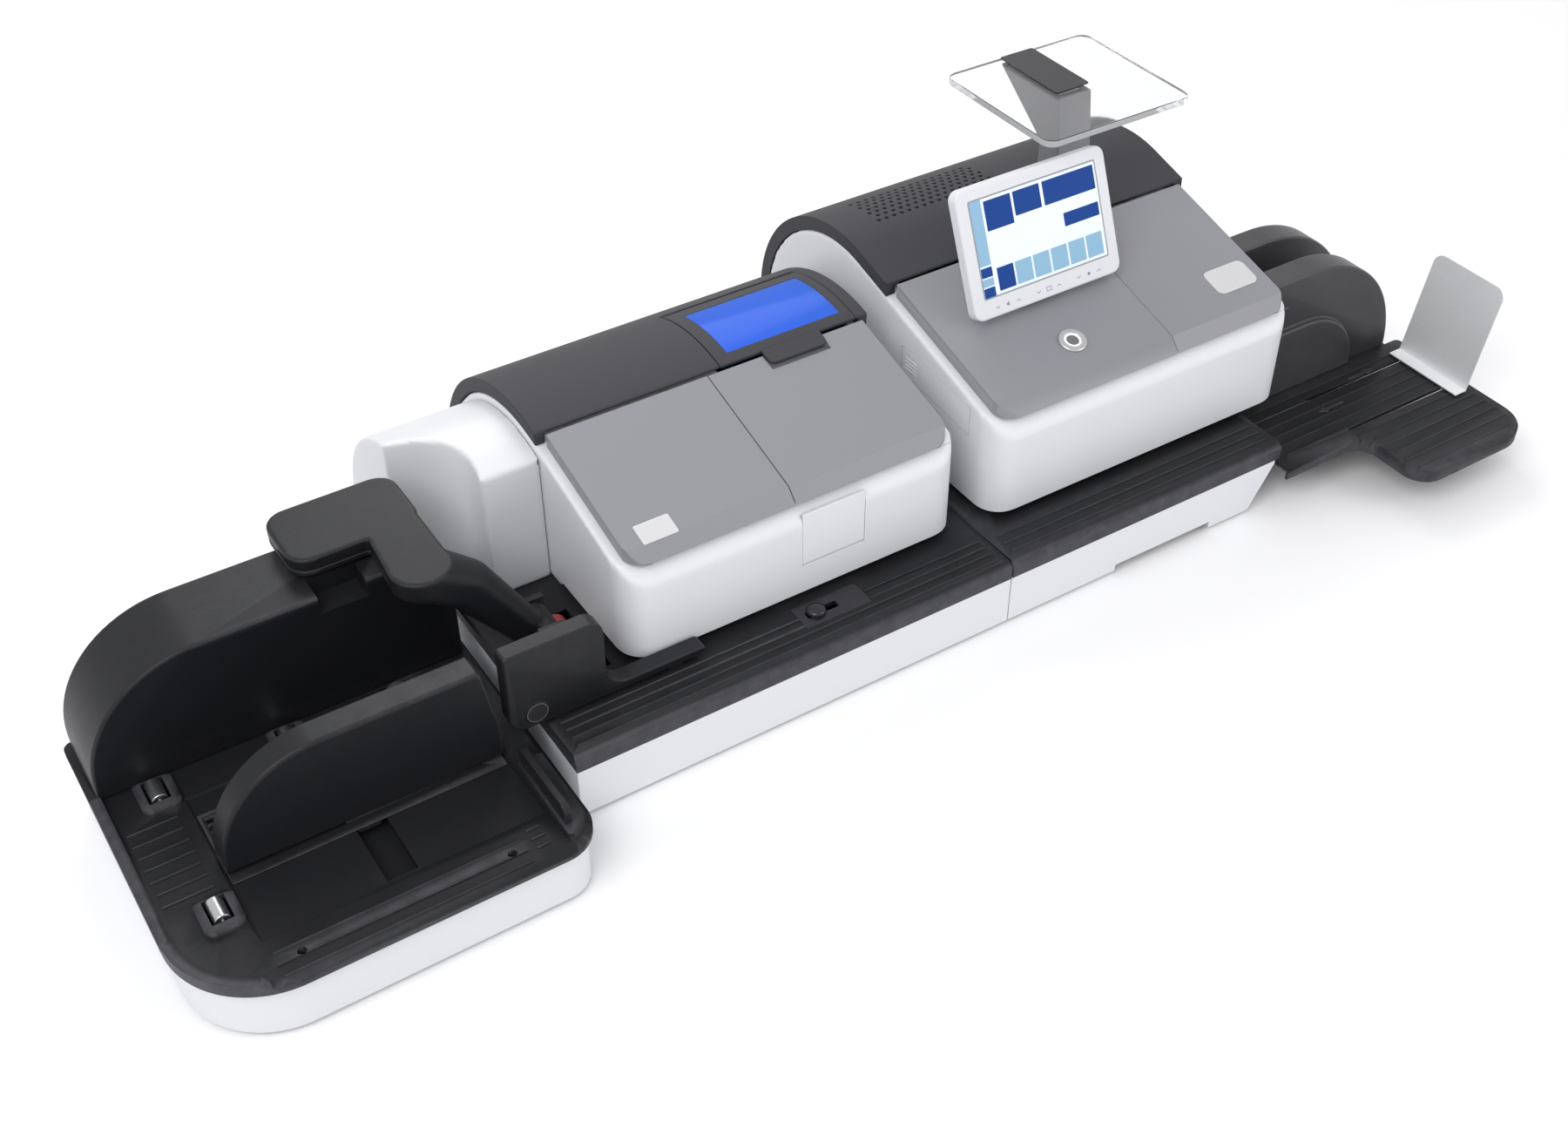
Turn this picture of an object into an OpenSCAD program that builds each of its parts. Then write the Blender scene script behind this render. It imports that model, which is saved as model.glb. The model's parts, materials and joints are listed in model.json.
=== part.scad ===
// Franking machine: a mixed-mail feeder, a sealer, the franking unit with its display and
// weighing platter, and a catch tray. Mail travels along +X, the operator stands at -Y and
// the machine rests on its feet at Z = 0. The frame's origin is the middle of the footprint.

/* [Row of units] */
// Length of the feeder up to the seam
feeder_len = 347; // [300:1:420]
// Length of the sealer base
sealer_len = 450; // [400:1:540]
// Length of the franking unit's base
main_len = 329; // [290:1:400]
// How far the catch tray reaches past the franking unit's base
tray_reach = 276; // [240:1:330]
// Gap between neighbouring bases
seam = 1; // [0.5:0.5:3]

/* [Bases and decks] */
// Height of the rubber feet
foot_h = 4; // [3:0.5:8]
// Top of the white casings
casing_top = 56; // [46:1:70]
// Top of the sealer and franking decks
deck_top = 74; // [64:1:90]
// Thickness of the decks
deck_t = 6; // [4:0.5:8]
// Depth of the sealer and franking bases
base_depth = 428; // [400:1:450]
// Wall of the casings
casing_wall = 3; // [2:0.5:5]
// Height of the deck ribs
rib_h = 1.2; // [0.6:0.2:2.5]

/* [Feeder] */
// How far the feeder stands out in front of the decks
feeder_out = 79; // [60:1:100]
// Radius of the feeder's big front corner
corner_r = 84; // [60:1:110]
// Front face of the feeder's rear wall
wall_front = 174; // [150:1:200]
// Thickness of the hollow rear wall
wall_deep = 79; // [60:1:95]
// Top of the rear wall
wall_top = 176; // [150:1:200]
// Length of the side guide
guide_len = 238; // [200:1:260]
// Height of the side guide above the feeder's deck
guide_h = 99; // [80:1:120]
// Thickness of the side guide
guide_t = 26; // [18:1:34]
// Radius of the small deck rollers
idler_r = 7; // [5:0.5:9]

/* [Housings] */
// Clear height of the mail slot above the deck
slot_h = 8; // [6:0.5:12]
// Thickness of the layer that lids and rear covers take up
skin_h = 14; // [10:0.5:20]
// Wall of lids and covers
skin_t = 3; // [2:0.5:4]
// Wall of the white shells
shell_t = 3; // [2:0.5:5]
// Slope of the lids, in degrees
lid_slope = 15; // [10:1:20]
// Sealer: radius of the arch
sealer_r = 167; // [150:1:180]
// Franking unit: radius of the arch
main_r = 143; // [130:1:155]
// Sealer housing length
sealer_shell_len = 346; // [300:1:350]
// Franking housing length
main_shell_len = 367; // [330:1:400]

/* [Running gear] */
// Radius of the shafts
shaft_r = 3; // [2:0.5:4]
// Radial clearance of a shaft in its bore
run_gap = 0.05; // [0.02:0.01:0.1]
// Radius of the driven rollers
roller_r = 13; // [10:0.5:16]
// Gap between moving pieces
gap = 0.4; // [0.3:0.1:1]

/* [Display and scale] */
// Width of the display frame
display_w = 173; // [150:1:200]
// Height of the display frame
display_h = 123; // [100:1:140]
// Thickness of the display frame
display_t = 13; // [9:1:20]
// Lean of the display from the horizontal, in degrees
display_lean = 67; // [55:1:80]
// Width of the weighing platter
platter_w = 172; // [140:1:200]
// Depth of the weighing platter
platter_d = 160; // [130:1:190]
// Thickness of the weighing platter
platter_t = 8; // [5:1:12]
// Height of the platter's top
platter_top = 376; // [366:1:430]
// Radius of the power button
button_r = 9.5; // [7:0.5:12]

/* [Hidden] */
$fn = 96;
eps = 0.01;
sink = 0.05;

// The row along X, measured from the feeder's left edge
sealer_x = feeder_len + seam;
main_x = sealer_x + sealer_len + seam;
main_end = main_x + main_len;
total_len = main_end + tray_reach;
sealer_shell_x = sealer_x + 88;
sealer_shell_end = sealer_shell_x + sealer_shell_len;
main_shell_x = main_x + 15;
main_shell_end = main_shell_x + main_shell_len;
hood_x = max(main_shell_end, main_end + 6);

// Depths along Y, measured from the front face of the sealer and franking bases
sealer_front = 64;
main_front = 55;
sealer_yc = 262;
main_yc = 315;
bevel_w = 12;
bevel_h = 13;
lid_set = 4;
slot_top = deck_top + slot_h;
slot_back = 196;
sealer_zc = deck_top - 5;
main_zc = deck_top + 42;
rear_y = main_yc + main_r;
tray_front = -96;

// Lids, rear covers and their hinge lines
sealer_split = 214;
main_split = 230;
lid_side = 9;
lid_r = 20;
hinge_drop = 4.2;
knuckle_r = 3.4;
cover_gap = 5;
sealer_gap_x = sealer_shell_x + 170;
main_gap_x = main_shell_x + 216;
tank_x0 = sealer_gap_x + 16;
tank_x1 = sealer_shell_end - lid_side - 4;
tank_y0 = sealer_split + cover_gap;
tank_y1 = tank_y0 + 104;

// Feeder
tray_z = casing_top + 7;
rim_h = 5;
feeder_end = feeder_len - 13;
recess_y0 = -30;
recess_y1 = 140;
guide_x = 67;
guide_y = 44;
guide_z = tray_z + rib_h + gap;
nudger_x = guide_x + 195;
nudger_z = tray_z - 6;
nudger_r = 11;
motor_r = 18;
arm_x = 385;
arm_z = deck_top + 34;
arm_pin_r = 4;
arm_h = 18;
arm_low_h = 6;
arm_seat = wall_top + tray_z - casing_top + 3;
arm_knee = [292, 144];
gate_x = guide_x + guide_len + 9;
gate_end = gate_x + 90;
feed_x = sealer_x + 62;
feed_z = deck_top - roller_r + 2;
sep_r = 10;
sep_z = feed_z + roller_r + gap + sep_r;
under_deck = deck_top - deck_t;

// Sealer
seal_roll_x = sealer_shell_x + 244;
panel_x = sealer_x + 244;
panel_y = 28;
brush_x = sealer_shell_x + 90;
latch_w = 62;
upper_r = 12;
upper_z = feed_z + roller_r + gap + upper_r;
flap_x0 = sealer_gap_x + 4;
flap_x1 = flap_x0 + 66;
flap_z0 = slot_top + 30;
flap_z1 = flap_z0 + 58;

// Franking unit and output
button_x = main_shell_x + 122;
button_y = 105;
display_x = main_shell_x + 42;
display_y = 148;
display_z = main_zc + 114.5;
display_pivot_y = display_y + 38;
display_pivot_z = display_z + 27;
scale_x = main_shell_x + 220;
scale_y = 258;
column_y = 236;
print_x = main_gap_x + 72;
print_y = 92;
rail_z = slot_top + 46;
rail_r = 4;
inlet_x = main_x + 60;
inlet_z = foot_h + 18;
vent_cols = 16;
vent_rows = 7;
vent_pitch = 9;
belt_x0 = main_shell_x + 40;
belt_x1 = main_end - roller_r - 11;
belt_y = 76;
tray_top = 50;
stop_x = total_len - 22;

// Moves everything from the row's own measures to the frame's origin.
module frame() {
    translate([-total_len / 2, -(rear_y + tray_front) / 2, 0]) children();
}

// Stretches a Y-Z outline from x0 to x1.
module along_x(x0, x1) {
    translate([x0, 0, 0]) rotate([90, 0, 90]) linear_extrude(x1 - x0) children();
}

// Stretches an X-Z outline from y0 to y1.
module along_y(y0, y1) {
    translate([0, y1, 0]) rotate([90, 0, 0]) linear_extrude(y1 - y0) children();
}

// Box from its two corners.
module box(a, b) {
    translate(a) cube([b[0] - a[0], b[1] - a[1], b[2] - a[2]]);
}

// Cylinder with its axis along Y.
module rod_y(x, y0, y1, z, r) {
    translate([x, y1, z]) rotate([90, 0, 0]) cylinder(h = y1 - y0, r = r);
}

// Cylinder with its axis along X.
module rod_x(x0, x1, y, z, r) {
    translate([x0, y, z]) rotate([0, 90, 0]) cylinder(h = x1 - x0, r = r);
}

// Rectangle whose corners are rounded by r = [front left, front right, rear right, rear left].
module round_rect(x0, y0, x1, y1, r) {
    difference() {
        translate([x0, y0]) square([x1 - x0, y1 - y0]);
        corner_cut(x0, y0, 1, 1, r[0]);
        corner_cut(x1, y0, -1, 1, r[1]);
        corner_cut(x1, y1, -1, -1, r[2]);
        corner_cut(x0, y1, 1, -1, r[3]);
    }
}

module corner_cut(x, y, sx, sy, r) {
    if (r > 0) difference() {
        translate([min(x - sx, x + sx * r), min(y - sy, y + sy * r)]) square([r + 1, r + 1]);
        translate([x + sx * r, y + sy * r]) circle(r);
    }
}

// Height of a housing's sloping top line at depth y, for a layer that lies inset below it.
function slope_z(yc, zc, r, y, inset) =
    zc + (r - inset) * cos(lid_slope)
    - (yc - (r - inset) * sin(lid_slope) - y) * tan(lid_slope);

// Height of a housing's surface at depth y.
function top_z(yc, zc, r, y, inset) =
    y < yc - (r - inset) * sin(lid_slope)
    ? slope_z(yc, zc, r, y, inset)
    : zc + sqrt(pow(r - inset, 2) - pow(y - yc, 2));

// Side outline of a housing: front wall, bevel, sloping lid, arch and rear wall. The slope's
// line lies a hair below the arch's tangent, so that the two cross cleanly.
module side_outline(yc, zc, r, front, base, inset) {
    ri = r - inset;
    nose_z = slope_z(yc, zc, r, front + bevel_w, 0);
    bevel_y = front + bevel_w + inset * 0.7;
    difference() {
        polygon([
            [front + inset, base], [front + inset, nose_z - bevel_h - inset * 0.6],
            [bevel_y, slope_z(yc, zc, r, bevel_y, inset + sink)],
            [yc + ri, slope_z(yc, zc, r, yc + ri, inset + sink)], [yc + ri, base]]);
        difference() {
            translate([yc - ri * sin(lid_slope), zc > base ? zc : base - 1]) square(2 * r);
            translate([yc, zc]) circle(ri);
        }
    }
}

module sealer_outline(inset) {
    side_outline(sealer_yc, sealer_zc, sealer_r, sealer_front, deck_top, inset);
}

module main_outline(inset) {
    side_outline(main_yc, main_zc, main_r, main_front, deck_top, inset);
}

// White base casing: a tray with a floor, open at the top.
module casing(x0, x1, y1, z0) {
    difference() {
        box([x0, 0, z0], [x1, y1, casing_top]);
        box([x0 + casing_wall, casing_wall, z0 + casing_wall],
            [x1 - casing_wall, y1 - casing_wall, casing_top + 1]);
    }
}

// Deck: a plate with a bevelled front band and ribs along X in front of the housing.
module deck(x0, x1, y1, ribs) {
    band = casing_top + 13;
    along_x(x0, x1) polygon([
        [0, casing_top], [0, band], [5, deck_top], [y1, deck_top], [y1, casing_top],
        [y1 - 6, casing_top], [y1 - 6, under_deck], [12, under_deck], [8, casing_top]]);
    for (x = [x0, x1 - 6]) box([x, 1, casing_top], [x + 6, y1 - 1, band]);
    for (y = ribs) box([x0 + 8, y, deck_top - eps], [x1 - 8, y + 1.6, deck_top + rib_h]);
}

// Roller on a shaft along Y: rubber rings at the given depths.
module shaft_rollers(x, z, r, y0, y1, rings, w) {
    rod_y(x, y0, y1, z, shaft_r);
    for (y = rings) rod_y(x, y, y + w, z, r);
}

// Upright cheek with a bore for a shaft along Y.
module cheek(x, y, z, z0, t) {
    difference() {
        box([x - 9, y, z0], [x + 9, y + t, z + 8]);
        rod_y(x, y - 1, y + t + 1, z, shaft_r + run_gap);
    }
}

// ---------------------------------------------------------------- feeder
module feeder_outline(inset) {
    round_rect(inset, -feeder_out + inset, feeder_end - inset, wall_front + wall_deep - inset,
        [corner_r - inset, 34 - inset, 8, 8]);
}

module feeder_casing() color("white") frame() {
    difference() {
        translate([0, 0, foot_h]) linear_extrude(casing_top - foot_h) feeder_outline(5);
        translate([0, 0, foot_h + casing_wall])
            linear_extrude(casing_top) feeder_outline(5 + casing_wall);
        box([feeder_end - 20, 40, foot_h + 16], [feeder_len, wall_front - 10, casing_top + 1]);
    }
}

module tray_slots(grow) {
    for (p = idler_spots())
        box([p[0] - idler_r - 2 - grow, p[1] - 13 - grow, casing_top - 8],
            [p[0] + idler_r + 2 + grow, p[1] + 13 + grow, tray_z + 20]);
}

function idler_spots() = [[49, 158], [49, 14], [162, 157]];

module feeder_tray() color("#25262b") frame() {
    difference() {
        union() {
            translate([0, 0, casing_top]) linear_extrude(tray_z - casing_top) feeder_outline(0);
            // raised rim along the left edge and round the big corner
            translate([0, 0, tray_z - eps]) linear_extrude(rim_h) difference() {
                feeder_outline(0);
                round_rect(9, -feeder_out + 9, feeder_len + 40, wall_front + wall_deep + 40,
                    [corner_r - 9, 0, 0, 0]);
                translate([guide_x - 9, -feeder_out - 1]) square([feeder_len, 60]);
                translate([0, wall_front]) square([feeder_len, 100]);
            }
            // humps that carry the small rollers
            for (p = idler_spots())
                translate([0, 0, tray_z - eps]) linear_extrude(4)
                    round_rect(p[0] - 16, p[1] - 23, p[0] + 16, p[1] + 15, [8, 8, 4, 4]);
            // ribs of the right-hand deck and of the left strip
            for (y = [-70 : 12 : -38])
                box([guide_x + 2, y, tray_z - eps], [feeder_end - 60, y + 1.6, tray_z + rib_h]);
            for (y = [40 : 14 : 130])
                box([14, y, tray_z - eps], [guide_x - 12, y + 1.6, tray_z + rib_h]);
            for (y = [-60 : 10 : -40])
                box([feeder_end - 52, y, tray_z - eps],
                    [feeder_end - 40, y + 1.6, tray_z + rib_h]);
            // rounded step at the right-hand end
            translate([0, 0, tray_z - eps]) linear_extrude(rim_h)
                round_rect(feeder_end - 26, -feeder_out + 12, feeder_end - 4, 30, [4, 24, 4, 4]);
        }
        tray_slots(0);
        box([guide_x - 1, recess_y0, tray_z - 3],
            [gate_x - 9, recess_y1, tray_z + 1]);
        for (x = [89, 263]) translate([x, -54, 0]) cylinder(h = 100, r = 4);
        // slot for the carriage's block and opening for the nudger rollers
        box([170, recess_y0 + 6, casing_top - 1], [196, recess_y1 - 8, tray_z]);
        box([nudger_x - 14, 144, casing_top - 1], [nudger_x + 14, 171, tray_z + 1]);
        rod_y(nudger_x, 140, wall_front, nudger_z, shaft_r + run_gap);
    }
}

module wall_outline(inset) {
    difference() {
        translate([7 + inset, casing_top]) square([feeder_end - 12 - 2 * inset,
            wall_top - casing_top - inset]);
        difference() {
            translate([0, wall_top - 106]) square([113, 120]);
            translate([113, wall_top - 106]) circle(106 - inset);
        }
    }
}

module feeder_wall() color("#2a2b30") frame() {
    translate([0, 0, tray_z - casing_top]) difference() {
        along_y(wall_front, wall_front + wall_deep) wall_outline(0);
        along_y(wall_front + 3, wall_front + wall_deep - 3)
            translate([0, -1]) wall_outline(3);
        box([214, wall_front - 1, wall_top - 17], [256, wall_front + 26, wall_top + 1]);
    }
    // floor and back of the notch that takes the arm's paddle
    z0 = wall_top + tray_z - casing_top - 17;
    box([211, wall_front, z0 - 3], [259, wall_front + 29, z0]);
    box([211, wall_front + 26, z0 - eps], [259, wall_front + 29, z0 + 15]);
    box([211, wall_front, z0 - eps], [214, wall_front + 27, z0 + 15]);
    box([256, wall_front, z0 - eps], [259, wall_front + 27, z0 + 15]);
}

// Side guide: quarter-round left end, slanted right end.
module guide_outline(inset) {
    top = tray_z + guide_h;
    r = guide_h - 9;
    difference() {
        translate([guide_x + inset, guide_z]) polygon([
            [0, 0], [guide_len - 2 * inset, 0], [guide_len - 2 * inset, 36],
            [guide_len - 12 - 2 * inset, guide_h - gap - inset],
            [0, guide_h - gap - inset]]);
        difference() {
            translate([guide_x - 1, top - r]) square([r + 1, r + 1]);
            translate([guide_x + r, top - r]) circle(r - inset);
        }
    }
}

module side_guide() color("#2a2b30") frame() {
    difference() {
        along_y(guide_y, guide_y + guide_t) guide_outline(0);
        along_y(guide_y + 2.5, guide_y + guide_t - 2.5)
            translate([0, -1]) guide_outline(2.5);
    }
}

module guide_carriage() color("#232428") frame() {
    top = tray_z + gap;
    box([guide_x + 1, guide_y - 8, tray_z - 3 + gap], [gate_x - 11, guide_y + 74, top - 1.5]);
    box([guide_x + guide_h, guide_y + 2.5, top - 1.5 - eps],
        [guide_x + guide_len - 20, guide_y + guide_t - 2.5, guide_z + 8]);
    for (y = [34 : 8 : 66])
        box([guide_x + 5, guide_y + y, top - 1.6], [gate_x - 16, guide_y + y + 1.6, top]);
    box([173, guide_y - 2, casing_top - 6], [193, guide_y + 30, tray_z - 3 + gap + eps]);
}

module tray_roller(p) color("#3a3a3f") frame() {
    difference() {
        rod_y(p[0], p[1] - 11, p[1] + 11, tray_z + 1, idler_r);
        rod_y(p[0], p[1] - 12, p[1] + 12, tray_z + 1, 1.5 + run_gap);
    }
}

module tray_roller_rear() tray_roller(idler_spots()[0]);
module tray_roller_front() tray_roller(idler_spots()[1]);
module tray_roller_wall() tray_roller(idler_spots()[2]);

// Steel pins and rods that are fixed in the castings.
module steel_pins() color("silver") frame() {
    for (p = idler_spots()) rod_y(p[0], p[1] - 13, p[1] + 13, tray_z + 1, 1.5);
    rod_y(arm_x, 104, 151, arm_z, arm_pin_r);
    rod_y(print_x - 30, main_front + shell_t, slot_back + 4, rail_z, rail_r);
}

// The arm's plan runs from the paddle above the rear wall down to its pin.
module arm_disc(x, y, z, r, h) {
    translate([x, y, z]) cylinder(h = h, r = r, $fn = 32);
}

// Flat part of the arm: the paddle and the bar that leads forward from it.
module arm_flat(z0, h) {
    hull() for (q = [[224, 252], [302, 252], [302, 216], [224, 216]])
        arm_disc(q[0], q[1], z0, 19, h);
    hull() {
        arm_disc(296, 240, z0, 22, h);
        arm_disc(arm_knee[0], arm_knee[1], z0, 26, h);
    }
}

// Sloping part of the arm, from the knee down to the pin.
module arm_slope(z0, h, grow) {
    hull() {
        arm_disc(arm_knee[0], arm_knee[1], z0 - grow, 26 + grow, h + 2 * grow);
        arm_disc(326, 139, z0 - 22 - grow, 21 + grow, h + 2 * grow);
    }
    hull() {
        arm_disc(326, 139, z0 - 22 - grow, 21 + grow, h + 2 * grow);
        arm_disc(arm_x - 12, 127, arm_z - 8 - grow, 14 + grow, h - 2 + 2 * grow);
    }
}

module pressure_arm() color("#303137") frame() {
    difference() {
        union() {
            arm_flat(arm_seat + arm_low_h, arm_h - arm_low_h);
            arm_slope(arm_seat, arm_h, 0);
            rod_y(arm_x, 112, 143, arm_z, 11);
        }
        rod_y(arm_x, 100, 160, arm_z, arm_pin_r + run_gap);
    }
}

module arm_lower_shell() color("#26272c") frame() {
    difference() {
        arm_flat(arm_seat, arm_low_h);
        arm_slope(arm_seat, arm_h, 0.2);
    }
}

module arm_bracket() color("#2b2c31") frame() {
    for (y = [104, 145]) difference() {
        box([arm_x - 12, y, deck_top], [arm_x + 12, y + 6, arm_z + 12]);
        rod_y(arm_x, y - 1, y + 7, arm_z, arm_pin_r);
    }
    // posts of the separation roller
    for (y = [77, 108]) difference() {
        box([feed_x - 8, y, deck_top], [feed_x + 8, y + 3.5, sep_z + 8]);
        rod_y(feed_x, y - 1, y + 5, sep_z, shaft_r + run_gap);
    }
}

// Upright gate that runs into a low wall in front of the sealer housing.
module feed_gate() color("#2c2d33") frame() {
    y0 = 45;
    y1 = sealer_front - 2;
    top = deck_top + 91;
    low = deck_top + 14;
    bottom = deck_top + 6;
    along_y(y0, y1) difference() {
        union() {
            round_rect(gate_x, bottom, gate_end, top, [16, 0, 14, 3]);
            round_rect(gate_end - 20, bottom, gate_end + 96, low, [0, 7, 5, 0]);
            // fillet between the gate and the low wall
            translate([gate_end - 1, low - 1]) square(21);
        }
        translate([gate_end + 22, low + 22]) circle(22.2);
    }
    // feet that stand on the deck
    for (x = [gate_x + 40, gate_end + 60]) box([x, y0 + 3, deck_top], [x + 14, y1 - 3, bottom + 1]);
    rod_y(gate_x + 24, y0 - 1.2, y0 + 4, deck_top + 21, 10);
}

module entry_fin() color("#2a2b30") frame() {
    x = feeder_end - 24;
    z = tray_z + rim_h;
    difference() {
        along_x(x, x + 6) round_rect(-54, z, 28, z + 18, [0, 0, 8, 8]);
        for (y = [-44, -6]) box([x - 1, y, z + 4], [x + 7, y + 22, z + 9]);
    }
}

module feed_roller() color("#b5453f") frame() {
    shaft_rollers(feed_x, feed_z, roller_r, 70, 178, [84, 144], 20);
}

module separation_roller() color("#4a4b50") frame() {
    shaft_rollers(feed_x, sep_z, sep_r, 76, 112.5, [84], 20);
}

module nudger_roller() color("#3c3d42") frame() {
    shaft_rollers(nudger_x, nudger_z, nudger_r, 142, 173, [146], 23);
}

module motor(x, y, z, r, len) {
    rod_y(x, y, y + len, z, r);
    rod_y(x, y - 14, y + eps, z, 2.5);
    rod_y(x, y - 12, y - 4, z, 7);
}

module drive_motors() color("#8a8c92") frame() {
    z = foot_h + casing_wall + motor_r;
    motor(guide_x + 53, wall_front + 2, z, motor_r, 52);
    for (x = [sealer_x + 200, main_x + 120]) motor(x, 220, z, motor_r, 52);
}

// ---------------------------------------------------------------- sealer
// Hangs a bearing cheek for a shaft along Y below a deck.
module hanger(x, y, z, t) {
    difference() {
        box([x - 8, y, z - 8], [x + 8, y + t, under_deck + eps]);
        rod_y(x, y - 1, y + t + 1, z, shaft_r + run_gap);
    }
}

// Outline of a white shell: the front wall stands proud of the lid's bevel.
module shell_outline(yc, zc, r, front, inset, drop) {
    nose_z = slope_z(yc, zc, r, front + lid_set + bevel_w, 0) - bevel_h - gap;
    side_outline(yc, zc, r, front, deck_top, inset + drop);
    difference() {
        translate([front + drop, deck_top])
            square([skin_h + bevel_w, nose_z - deck_top - drop]);
    }
}

// White housing shell with the mail slot under its front and an opening below the lids.
module housing(yc, zc, r, front, x0, x1, front_r) {
    t = shell_t;
    difference() {
        intersection() {
            along_x(x0, x1) shell_outline(yc, zc, r, front, skin_h, 0);
            linear_extrude(400) round_rect(x0, front, x1, rear_y + 1, [front_r, front_r, 0, 0]);
        }
        intersection() {
            along_x(x0 + t, x1 - t) shell_outline(yc, zc, r, front, skin_h, t);
            translate([0, 0, slot_top + t]) linear_extrude(400)
                round_rect(x0 + t, front + t, x1 - t, rear_y + 1, [front_r - t, front_r - t, 0, 0]);
        }
        // the mail slot, and the open underside behind it
        box([x0 - 1, front - 1, deck_top - 1], [x1 + 1, slot_back, slot_top]);
        box([x0 + t, slot_back + t, deck_top - 1], [x1 - t, yc + r - skin_h - t, slot_top + t + 1]);
    }
}

// One lid: a skin, its bevelled front and its two side walls.
module lid(yc, zc, r, front, x0, x1, y1, corner) {
    f = front + lid_set;
    bottom = slope_z(yc, zc, r, f + bevel_w, 0) - bevel_h;
    t = skin_t;
    difference() {
        intersection() {
            along_x(x0, x1) side_outline(yc, zc, r, f, deck_top, 0);
            translate([0, 0, bottom]) linear_extrude(200)
                round_rect(x0, f, x1, y1, [corner[0], corner[1], 0, 0]);
        }
        intersection() {
            along_x(x0 + t, x1 - t) side_outline(yc, zc, r, f, deck_top, t);
            linear_extrude(400) round_rect(x0 + t, f + t, x1 - t, y1 + 1,
                [max(corner[0] - t, 0), max(corner[1] - t, 0), 0, 0]);
        }
        along_x(x0 - 1, x1 + 1)
            shell_outline(yc, zc, r, front, skin_h - gap, 0);
    }
}

// Rolled edge that a lid turns on.
module knuckle(yc, zc, r, y, x0, x1) {
    rod_x(x0, x1, y, top_z(yc, zc, r, y, 0) - hinge_drop, knuckle_r);
}

// Black rear cover: the arch behind the lids with its two end walls.
module arch_cover(yc, zc, r, x0, x1, y0) {
    difference() {
        along_x(x0, x1) side_outline(yc, zc, r, 0, slot_top + 4, 0);
        along_x(x0 + 10, x1 - 10) side_outline(yc, zc, r, 0, deck_top, skin_t);
        along_x(x0 - 1, x1 + 1) side_outline(yc, zc, r, 0, deck_top, skin_h - gap);
        box([x0 - 1, -200, 0], [x1 + 1, y0, 400]);
    }
}

module sealer_casing() color("white") frame() {
    casing(sealer_x, sealer_x + sealer_len, base_depth, foot_h);
}

module sealer_deck() color("#25262b") frame() {
    x1 = sealer_x + sealer_len;
    difference() {
        deck(sealer_x, x1, base_depth, [11, 21, 31, 41]);
        box([panel_x, panel_y, deck_top - 3], [panel_x + 70, panel_y + 31, deck_top + 4]);
        box([panel_x + 8, panel_y + 10, 0], [panel_x + 42, panel_y + 20, deck_top]);
        // openings for the rollers and the brush, and the well under the shell
        for (y = [82, 142]) box([feed_x - 16, y, 0], [feed_x + 16, y + 24, 100]);
        for (y = [82, 142]) box([seal_roll_x - 16, y, 0], [seal_roll_x + 16, y + 24, 100]);
        box([brush_x - 1, 75, 0], [brush_x + 61, 101, 100]);
    }
    for (y = [72, 172]) hanger(feed_x, y, feed_z, 4);
    for (y = [72, 172]) hanger(seal_roll_x, y, feed_z, 4);
}

module sealer_shell() color("white") frame() {
    x0 = sealer_shell_x;
    x1 = sealer_shell_end;
    difference() {
        housing(sealer_yc, sealer_zc, sealer_r, sealer_front, x0, x1, 26);
        // openings below the lids
        box([x0 + 20, sealer_front + 24, slot_top + 20], [x1 - 20, sealer_split - 12, 400]);
        box([tank_x0 + 2, tank_y0 + 2, slot_top + 60], [tank_x1 - 2, tank_y1 - 8, 400]);
        box([flap_x0, sealer_front - 1, flap_z0], [flap_x1, sealer_front + shell_t + 1, flap_z1]);
        for (y = [82, 142])
            box([seal_roll_x - 16, y, slot_top - 1], [seal_roll_x + 16, y + 24, slot_top + 4]);
    }
    for (y = [76, 170]) cheek(seal_roll_x, y, upper_z, slot_top + shell_t - eps, 4);
}

module corner_cover() color("white") frame() {
    x0 = sealer_shell_x - 108;
    x1 = sealer_shell_x;
    difference() {
        along_x(x0, x1) intersection() {
            side_outline(sealer_yc, sealer_zc, sealer_r, 0, deck_top, skin_h + 6);
            translate([212, 0]) square([400, 400]);
        }
        along_x(x0 + 3, x1 + 1) intersection() {
            side_outline(sealer_yc, sealer_zc, sealer_r, 0, deck_top - 5, skin_h + 9);
            translate([215, 0]) square([400, 400]);
        }
        translate([x0 - 12, 232, 0]) cylinder(h = 300, r = 66);
    }
    intersection() {
        difference() {
            translate([x0 - 12, 232, deck_top]) cylinder(h = 300, r = 69);
            translate([x0 - 12, 232, 0]) cylinder(h = 400, r = 66);
        }
        along_x(x0, x1) intersection() {
            side_outline(sealer_yc, sealer_zc, sealer_r, 0, deck_top, skin_h + 6);
            translate([212, 0]) square([400, 400]);
        }
    }
}

module sealer_rear_cover() color("#26272d") frame() {
    difference() {
        arch_cover(sealer_yc, sealer_zc, sealer_r, sealer_shell_x, sealer_shell_end,
            sealer_split + cover_gap);
        box([tank_x0, sealer_split, slot_top + 40],
            [tank_x1, tank_y1 + cover_gap, 400]);
    }
}

module sealer_left_lid() color("#808088") frame() {
    x0 = sealer_shell_x + lid_side;
    x1 = sealer_gap_x - gap;
    lid(sealer_yc, sealer_zc, sealer_r, sealer_front, x0, x1, sealer_split, [lid_r, 0]);
    knuckle(sealer_yc, sealer_zc, sealer_r, sealer_split, x0, x1);
}

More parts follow.
